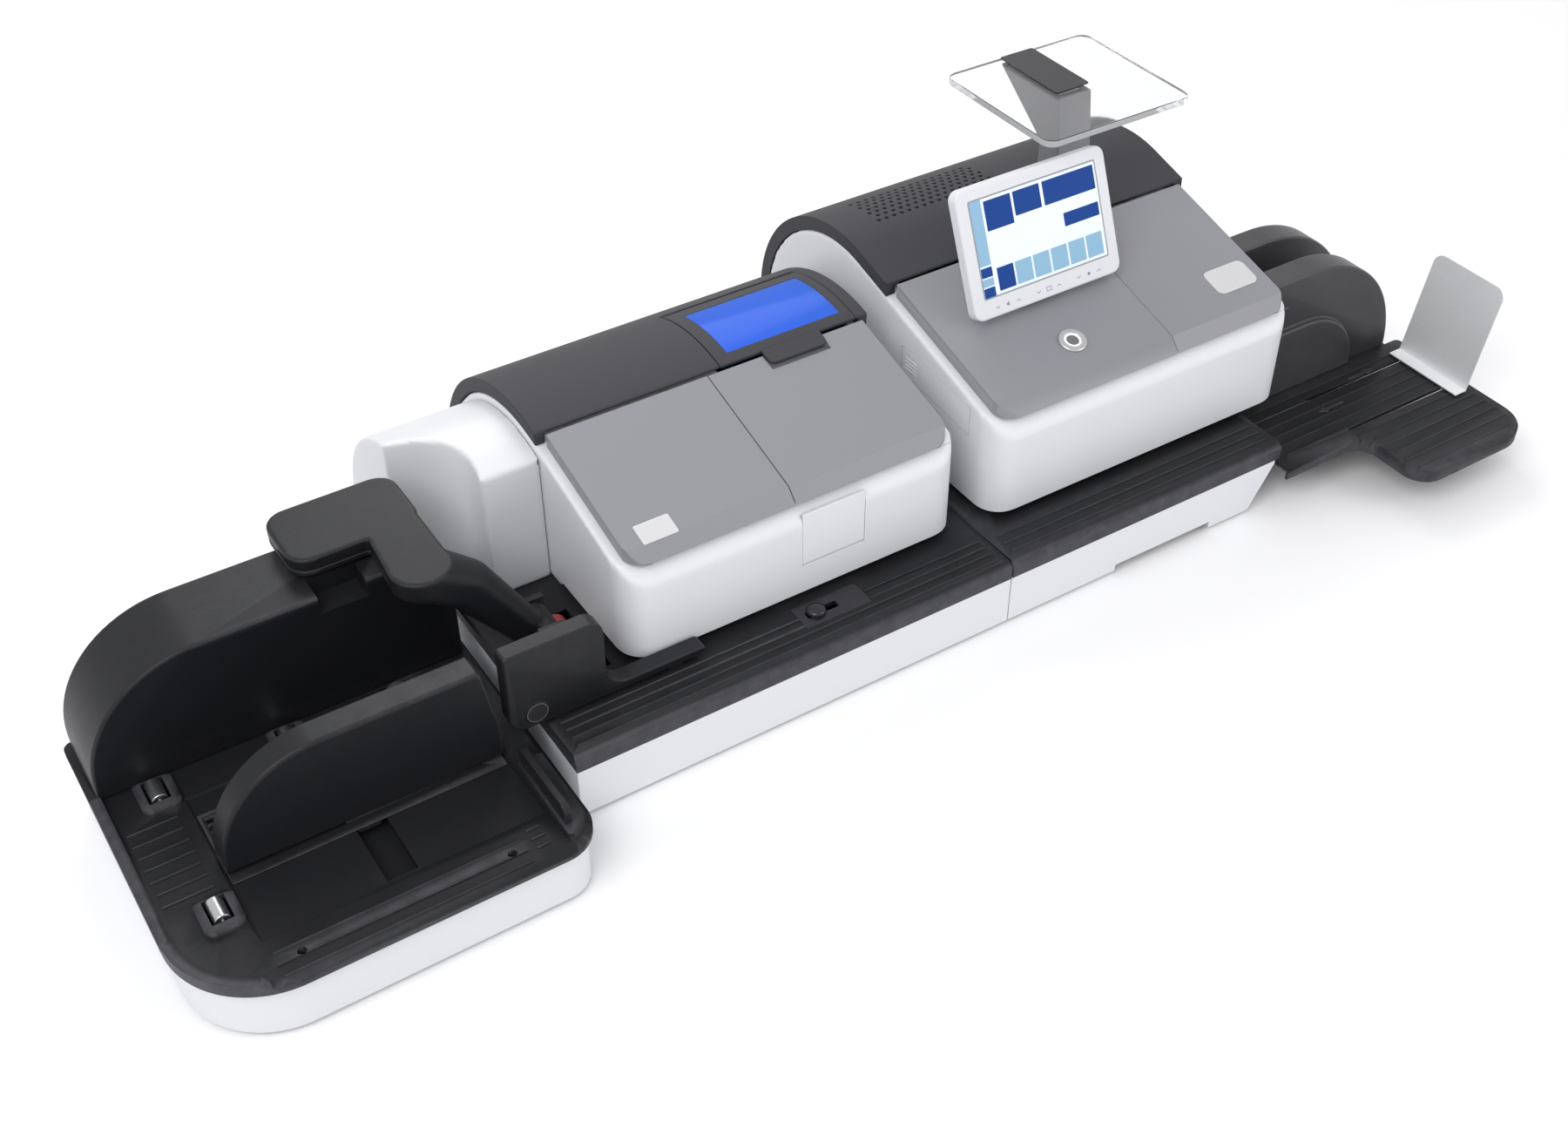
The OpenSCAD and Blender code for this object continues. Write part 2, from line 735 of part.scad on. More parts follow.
module sealer_right_panel() color("#808088") frame() {
    mid = (tank_x0 + tank_x1) / 2;
    difference() {
        lid(sealer_yc, sealer_zc, sealer_r, sealer_front, sealer_gap_x + gap,
            sealer_shell_end - lid_side, sealer_split, [0, lid_r]);
        box([mid - latch_w / 2 - gap, sealer_split - 17, slot_top + 60],
            [mid + latch_w / 2 + gap, sealer_split + 1, 400]);
    }
}

// The tank lid's frame is the part of the arch between the lids and its hinge.
module arch_piece(x0, x1, y0, y1, in0, in1) {
    intersection() {
        difference() {
            along_x(x0, x1) side_outline(sealer_yc, sealer_zc, sealer_r, 0, deck_top, in0);
            along_x(x0 - 1, x1 + 1)
                side_outline(sealer_yc, sealer_zc, sealer_r, 0, deck_top, in1);
        }
        box([x0 - 1, y0, slot_top + 60], [x1 + 1, y1, 400]);
    }
}

module tank_lid() color("#26272d") frame() {
    x0 = tank_x0 + gap;
    x1 = tank_x1 - gap;
    difference() {
        arch_piece(x0, x1, tank_y0, tank_y1, 0, skin_t);
        box([x0 + 14, tank_y0 + 12, 0], [x1 - 10, tank_y1 - 16, 400]);
    }
    knuckle(sealer_yc, sealer_zc, sealer_r, tank_y1, x0, x1);
}

module tank_window() color("#5566aa", 0.5) frame() {
    arch_piece(tank_x0 + gap + 14, tank_x1 - gap - 10, tank_y0 + 12, tank_y1 - 16, 0.4, 2.4);
}

module tank_latch() color("#303137") frame() {
    mid = (tank_x0 + tank_x1) / 2;
    z = top_z(sealer_yc, sealer_zc, sealer_r, sealer_split, 0);
    translate([mid, sealer_split - 6, z - 3]) rotate([lid_slope, 0, 0])
        linear_extrude(4.5) round_rect(-latch_w / 2, -7, latch_w / 2, 10.4, [7, 7, 2, 2]);
}

module water_tank() color("#2f5fe0") frame() {
    x0 = tank_x0 + 8;
    x1 = tank_x1 - 8;
    y0 = tank_y0 + 10;
    y1 = tank_y1 - 12;
    difference() {
        intersection() {
            along_x(x0, x1) side_outline(sealer_yc, sealer_zc, sealer_r, 0, deck_top, skin_h);
            box([x0, y0, deck_top], [x1, y1, 400]);
        }
        intersection() {
            along_x(x0 + 2, x1 - 2)
                side_outline(sealer_yc, sealer_zc, sealer_r, 0, deck_top, skin_h + 2);
            box([x0 + 2, y0 + 2, deck_top + 2], [x1 - 2, y1 - 2, 400]);
        }
        translate([x1 - 24, y0 + 22, 0]) cylinder(h = 400, r = 10);
    }
}

module front_flap() color("white") frame() {
    z0 = flap_z0 + gap;
    y = sealer_front;
    box([flap_x0 + gap, y, z0 + 2], [flap_x1 - gap, y + shell_t, flap_z1 - gap]);
    rod_x(flap_x0 + gap, flap_x1 - gap, y + 2.4, z0 + 2.4, 2.4);
}

module lever_panel() color("#101014") frame() {
    difference() {
        box([panel_x + gap, panel_y + gap, deck_top - 3], [panel_x + 70 - gap, panel_y + 31 - gap, deck_top]);
        box([panel_x + 9, panel_y + 11, 0], [panel_x + 41, panel_y + 19, 100]);
    }
}

module seal_lever() color("#1b1b20") frame() {
    x = panel_x + 19;
    y = panel_y + 15;
    translate([x, y, deck_top + gap]) cylinder(h = 3, r = 9);
    translate([x, y, deck_top + gap + 3 - eps]) intersection() {
        translate([0, 0, -15]) sphere(17.5);
        cylinder(h = 6, r = 9);
    }
    box([x - 8, y - 3.4, deck_top - 12], [x + 8, y + 3.4, deck_top + gap + 1]);
}

module wetting_brush() color("#dfe2e6") frame() {
    box([brush_x, 76, casing_top], [brush_x + 60, 100, deck_top + 1]);
    for (x = [4 : 6 : 52]) box([brush_x + x, 80, deck_top + 1 - eps], [brush_x + x + 3, 96, deck_top + 4]);
}

module seal_roller_lower() color("#2e2f33") frame() {
    shaft_rollers(seal_roll_x, feed_z, roller_r, 70, 178, [84, 144], 20);
}

module seal_roller_upper() color("#3b3c41") frame() {
    shaft_rollers(seal_roll_x, upper_z, upper_r, 75, 175, [84, 144], 20);
}

// ---------------------------------------------------------------- franking unit
module main_casing() color("white") frame() {
    difference() {
        box([main_x, 0, foot_h], [main_end, base_depth, casing_top]);
        for (s = [[foot_h + casing_wall, 31], [foot_h + 24, 16], [foot_h + 40, 8]])
            box([main_x + casing_wall, casing_wall, s[0]],
                [main_end - s[1], base_depth - casing_wall, casing_top + 1]);
        along_y(-1, base_depth + 1) polygon([
            [main_end - 27, 0], [main_end + 1, 0], [main_end + 1, casing_top - 4],
            [main_end, casing_top - 4], [main_end - 27, foot_h]]);
        box([main_x + 130, -1, foot_h - 1], [main_x + 250, 14, foot_h + 7]);
        box([inlet_x, base_depth - 6, inlet_z], [inlet_x + 28, base_depth + 1, inlet_z + 22]);
    }
}

module main_deck() color("#25262b") frame() {
    difference() {
        deck(main_x + seam, main_end + 5, base_depth, [14, 26, 38]);
        box([belt_x0 - 18, belt_y - 2, 0], [belt_x1 + 18, belt_y + 28, 100]);
    }
    for (x = [belt_x0, belt_x1]) for (y = [belt_y - 8, belt_y + 30]) hanger(x, y, feed_z - 1, 4);
}

module main_shell() color("white") frame() {
    x0 = main_shell_x;
    x1 = main_shell_end;
    difference() {
        housing(main_yc, main_zc, main_r, main_front, x0, x1, 26);
        box([x0 + 22, main_front + 26, slot_top + 20], [x1 - 20, main_split - 14, 400]);
        box([x0 + 22, main_split + 12, slot_top + 90], [x0 + 170, main_split + 110, 400]);
        along_x(x0 - 1, x0 + shell_t + 1) side_flap_outline(0);
        // the print head reaches down through the floor
        box([print_x - 16, print_y - 4, slot_top - 1], [print_x + 16, print_y + 98, slot_top + 4]);
    }
    // blocks that hold the carriage rail's front and rear end
    for (y = [main_front + shell_t - eps, slot_back - 4])
        difference() {
            box([print_x - 40, y, slot_top + shell_t - eps], [print_x - 20, y + 8, rail_z + 10]);
            rod_y(print_x - 30, y - 1, y + 9, rail_z, rail_r);
        }
}

module side_flap_outline(inset) {
    y0 = main_front + 43;
    y1 = y0 + 107;
    z0 = main_zc + 36;
    polygon([
        [y0 + inset, z0 + inset], [y1 - inset, z0 + 8 + inset],
        [y1 - inset, z0 + 38 - inset], [y0 + inset, z0 + 30 - inset]]);
}

module side_flap() color("white") frame() {
    along_x(main_shell_x, main_shell_x + 2.5) side_flap_outline(gap);
    for (i = [0 : 3])
        translate([main_shell_x - 0.6, main_front + 126, main_zc + 52 + 4 * i])
            cube([1, 18, 1.2]);
}

module main_rear_cover() color("#26272d") frame() {
    difference() {
        arch_cover(main_yc, main_zc, main_r, main_shell_x, main_shell_end,
            main_split + cover_gap);
        // rows of vent holes through the crest
        for (i = [0 : vent_cols - 1], j = [0 : vent_rows - 1])
            translate([main_shell_x + 44 + vent_pitch * i + (j % 2) * vent_pitch / 2,
                       main_yc - 4 + vent_pitch * 0.9 * j, main_zc])
                cylinder(h = 200, r = 2.2, $fn = 24);
        // seat of the scale column
        box([scale_x - 20 - gap, 0, 0], [scale_x + 20 + gap, column_y + 36 + gap, 400]);
    }
}

module main_left_panel() color("#808088") frame() {
    difference() {
        union() {
            lid(main_yc, main_zc, main_r, main_front, main_shell_x + lid_side,
                main_gap_x - gap, main_split, [lid_r, 0]);
            on_slope(button_x, button_y)
                translate([0, 0, -9]) cylinder(h = 9, r = button_r + 8);
        }
        on_slope(button_x, button_y) translate([0, 0, -20]) cylinder(h = 40, r = button_r + 4);
    }
}

// Places a piece on the franking unit's slope with its own Z along the surface's normal.
module on_slope(x, y) {
    translate([x, y, slope_z(main_yc, main_zc, main_r, y, 0)]) rotate([lid_slope, 0, 0])
        children();
}

module main_right_lid() color("#808088") frame() {
    x0 = main_gap_x + gap;
    x1 = main_shell_end - lid_side;
    lid(main_yc, main_zc, main_r, main_front, x0, x1, main_split, [0, lid_r]);
    knuckle(main_yc, main_zc, main_r, main_split, x0, x1);
}

module power_button() color("#b9bbc0") frame() {
    on_slope(button_x, button_y) translate([0, 0, -6]) {
        cylinder(h = 8, r = button_r);
        translate([0, 0, -5]) cylinder(h = 6, r = button_r - 3);
    }
}

module button_ring() color("silver") frame() {
    on_slope(button_x, button_y) translate([0, 0, -9]) difference() {
        union() {
            cylinder(h = 10.2, r = button_r + 4);
            translate([0, 0, 9]) cylinder(h = 1.6, r = button_r + 5);
        }
        translate([0, 0, -1]) cylinder(h = 20, r = button_r + 0.1);
    }
}

module display_stem() color("#2a2b30") frame() {
    mid = display_x + display_w / 2;
    z0 = slope_z(main_yc, main_zc, main_r, display_pivot_y, 0);
    difference() {
        union() {
            box([mid - 16, display_pivot_y - 11, z0 - 2], [mid + 16, display_pivot_y + 12, display_pivot_z]);
            rod_x(mid - 16, mid + 16, display_pivot_y, display_pivot_z, 7);
        }
        along_x(mid - 20, mid + 20) side_outline(main_yc, main_zc, main_r, 0, deck_top, 0);
        rod_x(mid - 17, mid + 17, display_pivot_y, display_pivot_z, 3);
    }
    rod_x(mid - 27, mid + 27, display_pivot_y, display_pivot_z, 3);
}

// The display's own frame: X to the right, Y up its face, Z out of its face.
module on_display() {
    translate([display_x, display_y, display_z]) rotate([display_lean, 0, 0]) children();
}

module display_frame() color("white") frame() {
    mid = display_x + display_w / 2;
    difference() {
        union() {
            on_display() translate([0, 0, -display_t]) linear_extrude(display_t)
                round_rect(0, 0, display_w, display_h, [9, 9, 9, 9]);
            for (x = [mid - 27, mid + 16.5])
                box([x, display_pivot_y - 14, display_pivot_z - 7],
                    [x + 10.5, display_pivot_y + 5, display_pivot_z + 7]);
        }
        on_display() translate([0, 0, -1.4]) linear_extrude(5)
            round_rect(13.6, 19.6, display_w - 13.6, display_h - 12.6, [1, 1, 1, 1]);
        rod_x(mid - 30, mid + 30, display_pivot_y, display_pivot_z, 3 + run_gap);
    }
}

module display_glass() color("#9fc4ef") frame() {
    on_display() translate([0, 0, -1.4]) linear_extrude(1)
        round_rect(14, 20, display_w - 14, display_h - 13, [1, 1, 1, 1]);
}

module scale_column() color("#55565e") frame() {
    z0 = top_z(main_yc, main_zc, main_r, column_y, 0) - 30;
    z1 = platter_top - platter_t - 1.5;
    y_rear = scale_y + platter_d / 2 - 2;
    difference() {
        along_x(scale_x - 20, scale_x + 20) polygon([
            [column_y + gap, z0], [column_y + 36, z0], [column_y + 32, z1 - 52],
            [y_rear, z1], [column_y + 10, z1], [column_y + 2, z1 - 60]]);
        along_x(scale_x - 30, scale_x + 30) main_outline(skin_h);
        box([scale_x - 12, column_y + 18, z1 - 20], [scale_x + 12, column_y + 72, z1 + 1]);
    }
}

// Bending beam below the platter, in the head of the column.
module load_cell() color("#b5b8bd") frame() {
    z1 = platter_top - platter_t - 1.5;
    difference() {
        box([scale_x - 12 + gap, column_y + 18 + gap, z1 - 20], [scale_x + 12 - gap, column_y + 72 - gap, z1]);
        for (dy = [38, 52]) rod_x(scale_x - 20, scale_x + 20, column_y + dy, z1 - 10, 6);
    }
}

module scale_platter() color("#e8eef2", 0.5) frame() {
    y0 = scale_y - platter_d / 2;
    y1 = scale_y + platter_d / 2;
    translate([0, 0, platter_top - platter_t]) linear_extrude(platter_t - 1)
        round_rect(scale_x - platter_w / 2, y0, scale_x + platter_w / 2, y1, [12, 12, 12, 12]);
    // dark strip along the rear half of the plate
    box([scale_x - 20, column_y + 14, platter_top - 1 - eps], [scale_x + 20, y1, platter_top]);
}

module print_carriage() color("#3a3b42") frame() {
    difference() {
        union() {
            box([print_x - 42, print_y + 6, rail_z - 9], [print_x - 18, print_y + 36, rail_z + 9]);
            box([print_x - 18 - eps, print_y, slot_top + 6], [print_x + 22, print_y + 56, slot_top + 64]);
            box([print_x - 12, print_y + 4, slot_top + 0.6], [print_x + 12, print_y + 52, slot_top + 7]);
        }
        rod_y(print_x - 30, print_y, print_y + 60, rail_z, rail_r + run_gap);
        box([print_x - 14, print_y + 4, slot_top + 12], [print_x + 18, print_y + 52, slot_top + 65]);
    }
}

module ink_cartridge() color("#2c4f9e") frame() {
    box([print_x - 13.5, print_y + 4.5, slot_top + 12], [print_x + 17.5, print_y + 51.5, slot_top + 72]);
    box([print_x - 8, print_y + 14, slot_top + 72 - eps], [print_x + 12, print_y + 42, slot_top + 78]);
}

module transport_roller() color("#4a4b50") frame() {
    shaft_rollers(belt_x1, feed_z - 1, roller_r - 1, belt_y - 10, belt_y + 36, [belt_y + 1], 24);
}

module transport_idler() color("#4a4b50") frame() {
    shaft_rollers(belt_x0, feed_z - 1, roller_r - 1, belt_y - 10, belt_y + 36, [belt_y + 1], 24);
}

module transport_belt() color("#1d1d20") frame() {
    r = roller_r - 1 + gap;
    z = feed_z - 1;
    along_y(belt_y + 2, belt_y + 24) difference() {
        belt_outline(z, r + 1.6);
        belt_outline(z, r);
    }
}

module belt_outline(z, r) {
    translate([belt_x0, z]) circle(r);
    translate([belt_x1, z]) circle(r);
    translate([belt_x0, z - r]) square([belt_x1 - belt_x0, 2 * r]);
}

module electronics() color("#3f7a4a") frame() {
    // power supply and mains inlet in the base, and the control board in the shell
    box([main_x + 100, base_depth - 90, foot_h + casing_wall], [main_x + 220, base_depth - 20, casing_top - 8]);
    difference() {
        box([inlet_x + gap, base_depth - 26, inlet_z + gap], [inlet_x + 28 - gap, base_depth, inlet_z + 22 - gap]);
        box([inlet_x + 4, base_depth - 16, inlet_z + 4], [inlet_x + 24, base_depth + 1, inlet_z + 18]);
    }
    box([main_shell_x + 30, main_yc + 40, deck_top], [main_shell_x + 230, main_yc + 42, slot_top + 110]);
}

module feet() color("#2a2a2c") frame() {
    for (x = [60, feeder_end - 60]) for (y = [0, wall_front + 30])
        translate([x, y, 0]) cylinder(h = foot_h, r = 11);
    for (x = [sealer_x + 40, sealer_x + sealer_len - 40, main_x + 40, main_end - 60])
        for (y = [30, base_depth - 30]) translate([x, y, 0]) cylinder(h = foot_h, r = 11);
}

// ---------------------------------------------------------------- output
module fin_outline(x_flat, r, z0, inset) {
    x0 = hood_x + gap + inset;
    translate([x0, z0]) square([x_flat - x0, r - inset]);
    intersection() {
        translate([x_flat, z0]) circle(r - inset);
        translate([x_flat, z0]) square(r);
    }
}

module exit_hood() color("#2a2b30") frame() {
    z0 = tray_top + gap;
    for (y = [92, 160]) difference() {
        along_y(y, y + 30) fin_outline(hood_x + 58, 136, z0, 0);
        along_y(y + 3, y + 27) translate([0, -1]) fin_outline(hood_x + 58, 136, z0, 3);
    }
    along_y(86, 92 + eps) fin_outline(hood_x + 58, 78, z0, 0);
    box([hood_x + gap, 118, slot_top + 6], [hood_x + gap + 4, 164, slot_top + 80]);
}

// Plan of the catch tray: a strip along the machine and a lobe that steps out to the front.
module tray_plan(inset) {
    x0 = main_end + 5.5;
    x1 = total_len - 8;
    step = total_len - 168;
    y_step = -14;
    r = 22;
    round_rect(x0, y_step + inset, x1 - inset, 92 - inset, [0, 0, 6, 0]);
    round_rect(x0, 0, hood_x + 196 - inset, 192 - inset, [0, 0, 3, 0]);
    round_rect(step + inset, tray_front + inset, x1 - inset, 60, [26 - inset, 40 - inset, 0, 0]);
    difference() {
        translate([step - r + inset, y_step - r + inset]) square([r + eps, r + eps]);
        translate([step - r + inset, y_step - r + inset]) circle(r);
    }
}

module catch_tray() color("#25262b") frame() {
    difference() {
        union() {
            translate([0, 0, tray_top - 12]) linear_extrude(12) tray_plan(0);
            for (y = [-80 : 14 : 80])
                intersection() {
                    box([main_end + 20, y, tray_top - 1], [total_len - 14, y + 1.2, tray_top + 0.8]);
                    linear_extrude(100) tray_plan(8);
                }
        }
        translate([0, 0, tray_top - 13]) linear_extrude(9) tray_plan(3);
        // slots that the stop plate's hooks run in
        for (y = [0, 60]) box([stop_x - 150, y, 0], [stop_x + 12, y + 4, 100]);
    }
}

module stop_plate() color("#c9ccd1") frame() {
    y0 = -17;
    y1 = 75;
    difference() {
        along_y(y0, y1) polygon([
            [stop_x - 16, tray_top + 1.2], [stop_x, tray_top + 1.2],
            [total_len, 166], [total_len - 2, 166], [stop_x - 1.2, tray_top + 3],
            [stop_x - 16, tray_top + 3]]);
        for (s = [0, 1]) translate([total_len - 30, s ? y1 - 12 : y0 + 12, 154])
            rotate([0, 90, 0]) linear_extrude(60) difference() {
                translate([-20, s ? 0 : -20]) square(20);
                circle(12);
            }
    }
    for (y = [0, 60]) box([stop_x - 12, y + 0.6, tray_top - 8], [stop_x - 4, y + 3.4, tray_top + 1.3]);
}

feeder_casing();
feeder_tray();
feeder_wall();
side_guide();
guide_carriage();
tray_roller_rear();
tray_roller_front();
tray_roller_wall();
steel_pins();
pressure_arm();
arm_lower_shell();
arm_bracket();
feed_gate();
entry_fin();
feed_roller();
separation_roller();
nudger_roller();
drive_motors();
sealer_casing();
sealer_deck();
sealer_shell();
corner_cover();
sealer_rear_cover();
sealer_left_lid();
sealer_right_panel();
tank_lid();
tank_window();
tank_latch();
water_tank();
front_flap();
lever_panel();
seal_lever();
wetting_brush();
seal_roller_lower();
seal_roller_upper();
main_casing();
main_deck();
main_shell();
main_rear_cover();
main_left_panel();
main_right_lid();
side_flap();
power_button();
button_ring();
display_stem();
display_frame();
display_glass();
scale_column();
load_cell();
scale_platter();
print_carriage();
ink_cartridge();
transport_roller();
transport_idler();
transport_belt();
electronics();
feet();
exit_hood();
catch_tray();
stop_plate();
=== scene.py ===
"""Looks of the franking machine: feeder, sealer, franking unit and catch tray.

Lengths are in millimetres along the row of units and are turned into metres where a mesh is
made: X runs from the feeder's left edge to the catch tray, Y from the front of the bases to
the rear and Z up from the table.
"""

import json
import logging
import math
from dataclasses import dataclass, field
from enum import Enum

import bmesh
import bpy
from mathutils import Matrix, Vector

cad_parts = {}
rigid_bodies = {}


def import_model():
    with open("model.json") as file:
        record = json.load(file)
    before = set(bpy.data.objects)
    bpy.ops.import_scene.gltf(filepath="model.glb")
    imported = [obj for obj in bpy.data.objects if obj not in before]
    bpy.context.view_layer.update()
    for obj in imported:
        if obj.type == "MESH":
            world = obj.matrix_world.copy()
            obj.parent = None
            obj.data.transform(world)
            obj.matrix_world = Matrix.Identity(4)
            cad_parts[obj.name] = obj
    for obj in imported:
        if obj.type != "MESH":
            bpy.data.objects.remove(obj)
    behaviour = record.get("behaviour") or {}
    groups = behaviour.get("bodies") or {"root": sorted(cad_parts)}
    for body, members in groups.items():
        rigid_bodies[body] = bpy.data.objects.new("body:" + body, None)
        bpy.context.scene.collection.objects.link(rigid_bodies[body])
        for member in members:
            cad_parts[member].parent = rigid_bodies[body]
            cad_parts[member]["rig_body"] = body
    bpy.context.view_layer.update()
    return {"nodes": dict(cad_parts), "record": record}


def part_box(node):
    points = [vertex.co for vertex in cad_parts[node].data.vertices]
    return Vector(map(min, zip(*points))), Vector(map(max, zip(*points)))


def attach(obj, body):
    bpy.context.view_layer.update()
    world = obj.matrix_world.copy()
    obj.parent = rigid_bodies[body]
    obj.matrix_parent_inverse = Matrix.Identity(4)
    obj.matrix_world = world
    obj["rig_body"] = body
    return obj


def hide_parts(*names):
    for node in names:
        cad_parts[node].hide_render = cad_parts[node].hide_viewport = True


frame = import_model()

MM = 0.001
LOG = logging.getLogger("franking_machine")
ROW_START = Vector((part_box("feeder_tray")[0].x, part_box("main_casing")[0].y, 0.0))

Point2 = tuple[float, float]
Point3 = tuple[float, float, float]
Colour = Point3
Corners = tuple[float, float, float, float]
Piece = bpy.types.Object
Socket = bpy.types.NodeSocket
Tree = bpy.types.NodeTree

DECK_TOP = 74.0
LID_SLOPE = 15.0
ABOVE_SHELL = 300.0
ABOVE_LIDS = 400.0
QUARTER_STEPS = 20
ARC_STEPS = 28
DUST_COLOUR = (0.72, 0.71, 0.69)


def at(x: float, y: float, z: float) -> Vector:
    """Turns row millimetres into the frame's metres."""
    return ROW_START + Vector((x, y, z)) * MM


# ------------------------------------------------------------------ shader groups


class Graph:
    """Small helper that adds and links nodes in one node tree."""

    def __init__(self, tree: Tree) -> None:
        """Keeps the tree that the nodes go to."""
        self.tree = tree
        self.column = 0

    def add(self, kind: str, **values: object) -> bpy.types.Node:
        """Adds one node.

        Args:
            kind: The node's type name without its ShaderNode prefix.
            **values: Properties of the node, or input values by socket name with _ for space.

        Returns:
            The new node.
        """
        node = self.tree.nodes.new(f"ShaderNode{kind}")
        self.column += 1
        node.location = (self.column * 190, -(self.column % 4) * 140)
        for key, value in values.items():
            socket = node.inputs.get(key.replace("_", " "))
            if socket is not None and not hasattr(node, key):
                socket.default_value = value
            else:
                setattr(node, key, value)
        return node

    def link(self, source: Socket, target: Socket) -> None:
        """Joins an output to an input."""
        self.tree.links.new(source, target)

    def math(self, operation: str, a: object, b: object, clamp: bool = False) -> Socket:
        """Adds a Math node whose inputs are sockets or numbers and returns its output."""
        node = self.add("Math", operation=operation, use_clamp=clamp)
        for index, value in enumerate((a, b)):
            if isinstance(value, (int, float)):
                node.inputs[index].default_value = value
            else:
                self.link(value, node.inputs[index])
        return node.outputs[0]

    def mix(self, factor: object, a: object, b: object) -> Socket:
        """Adds a colour Mix node whose inputs are sockets or colours and returns its output."""
        node = self.add("Mix", data_type="RGBA")
        for index, value in ((0, factor), (6, a), (7, b)):
            if isinstance(value, Socket):
                self.link(value, node.inputs[index])
            elif isinstance(value, (int, float)):
                node.inputs[index].default_value = value
            else:
                node.inputs[index].default_value = (*value, 1.0)
        return node.outputs[2]

    def noise(self, scale: Socket, detail: float, roughness: float) -> Socket:
        """Adds object-space noise whose scale is a socket and returns its output."""
        where = self.add("TexCoord")
        node = self.add("TexNoise", Detail=detail, Roughness=roughness)
        self.link(where.outputs["Object"], node.inputs["Vector"])
        self.link(scale, node.inputs["Scale"])
        return node.outputs[0]


class Effect(Enum):
    """Effects that several finishes share."""

    GRAIN = "moulded grain"
    WEAR = "edge wear"
    DUST = "settled dust"


class EffectLibrary:
    """Builds each shared node group once."""

    def __init__(self) -> None:
        """Starts with no group built."""
        self.groups: dict[Effect, Tree] = {}

    def get(self, effect: Effect) -> Tree:
        """Returns the node group of an effect, building it the first time."""
        if effect not in self.groups:
            maker = {Effect.GRAIN: self._grain, Effect.WEAR: self._wear, Effect.DUST: self._dust}
            self.groups[effect] = maker[effect]()
        return self.groups[effect]

    @staticmethod
    def _sockets(name: str, inputs: dict[str, float], outputs: list[str]) -> Tree:
        """Makes an empty group with float sockets.

        Args:
            name: The group's name.
            inputs: Input names with their default values.
            outputs: Output names.

        Returns:
            The group with its input and output nodes in place.
        """
        tree = bpy.data.node_groups.new(name, "ShaderNodeTree")
        for key, value in inputs.items():
            socket = tree.interface.new_socket(name=key, in_out="INPUT", socket_type="NodeSocketFloat")
            socket.default_value = value
        for key in outputs:
            tree.interface.new_socket(name=key, in_out="OUTPUT", socket_type="NodeSocketFloat")
        tree.nodes.new("NodeGroupInput")
        tree.nodes.new("NodeGroupOutput")
        return tree

    def _grain(self) -> Tree:
        """Fine moulded texture with a slow change of tone."""
        tree = self._sockets("MouldedGrain", {"Scale": 900.0, "Stretch": 1.0}, ["Height", "Tone"])
        g = Graph(tree)
        given, out = tree.nodes["Group Input"], tree.nodes["Group Output"]
        where = g.add("TexCoord")
        scale = g.add("CombineXYZ", X=1.0, Y=1.0, Z=1.0)
        g.link(given.outputs["Stretch"], scale.inputs["X"])
        spread = g.add("VectorMath", operation="MULTIPLY")
        g.link(where.outputs["Object"], spread.inputs[0])
        g.link(scale.outputs[0], spread.inputs[1])
        fine = g.add("TexNoise", Detail=3.0, Roughness=0.6)
        g.link(spread.outputs[0], fine.inputs["Vector"])
        g.link(given.outputs["Scale"], fine.inputs["Scale"])
        pits = g.add("TexVoronoi")
        g.link(spread.outputs[0], pits.inputs["Vector"])
        g.link(g.math("MULTIPLY", given.outputs["Scale"], 0.8), pits.inputs["Scale"])
        height = g.math("ADD", fine.outputs[0], g.math("MULTIPLY", pits.outputs["Distance"], 0.4))
        slow = g.add("TexNoise", Scale=9.0, Detail=4.0, Roughness=0.55)
        g.link(where.outputs["Object"], slow.inputs["Vector"])
        broad = g.math("MULTIPLY", slow.outputs[0], 0.7)
        tone = g.math("ADD", broad, g.math("MULTIPLY", fine.outputs[0], 0.3))
        g.link(height, out.inputs["Height"])
        g.link(tone, out.inputs["Tone"])
        return tree

    def _wear(self) -> Tree:
        """Mask of edges that hands and paper have polished."""
        tree = self._sockets("EdgeWear", {"Amount": 0.4, "Breakup": 60.0}, ["Mask"])
        g = Graph(tree)
        given, out = tree.nodes["Group Input"], tree.nodes["Group Output"]
        shape = g.add("NewGeometry")
        edge = g.add("MapRange")
        edge.inputs["From Min"].default_value = 0.515
        edge.inputs["From Max"].default_value = 0.60
        g.link(shape.outputs["Pointiness"], edge.inputs["Value"])
        broken = g.math("MULTIPLY", edge.outputs[0], g.noise(given.outputs["Breakup"], 5.0, 0.7))
        g.link(g.math("MULTIPLY", broken, given.outputs["Amount"], True), out.inputs["Mask"])
        return tree

    def _dust(self) -> Tree:
        """Mask of the thin dust that lies on upward faces."""
        tree = self._sockets("SettledDust", {"Amount": 0.1, "Scale": 35.0}, ["Mask"])
        g = Graph(tree)
        given, out = tree.nodes["Group Input"], tree.nodes["Group Output"]
        shape = g.add("NewGeometry")
        split = g.add("SeparateXYZ")
        g.link(shape.outputs["Normal"], split.inputs[0])
        up = g.math("POWER", g.math("MAXIMUM", split.outputs["Z"], 0.0), 3.0)
        lying = g.math("MULTIPLY", up, g.noise(given.outputs["Scale"], 6.0, 0.75))
        mask = g.math("MULTIPLY", lying, given.outputs["Amount"], True)
        g.link(mask, out.inputs["Mask"])
        return tree


EFFECTS = EffectLibrary()


def new_material(name: str) -> tuple[bpy.types.Material, Graph, bpy.types.Node]:
    """Makes a material and returns it with its graph and its Principled shader."""
    material = bpy.data.materials.new(name)
    material.use_nodes = True
    return material, Graph(material.node_tree), material.node_tree.nodes["Principled BSDF"]


# ------------------------------------------------------------------ finishes


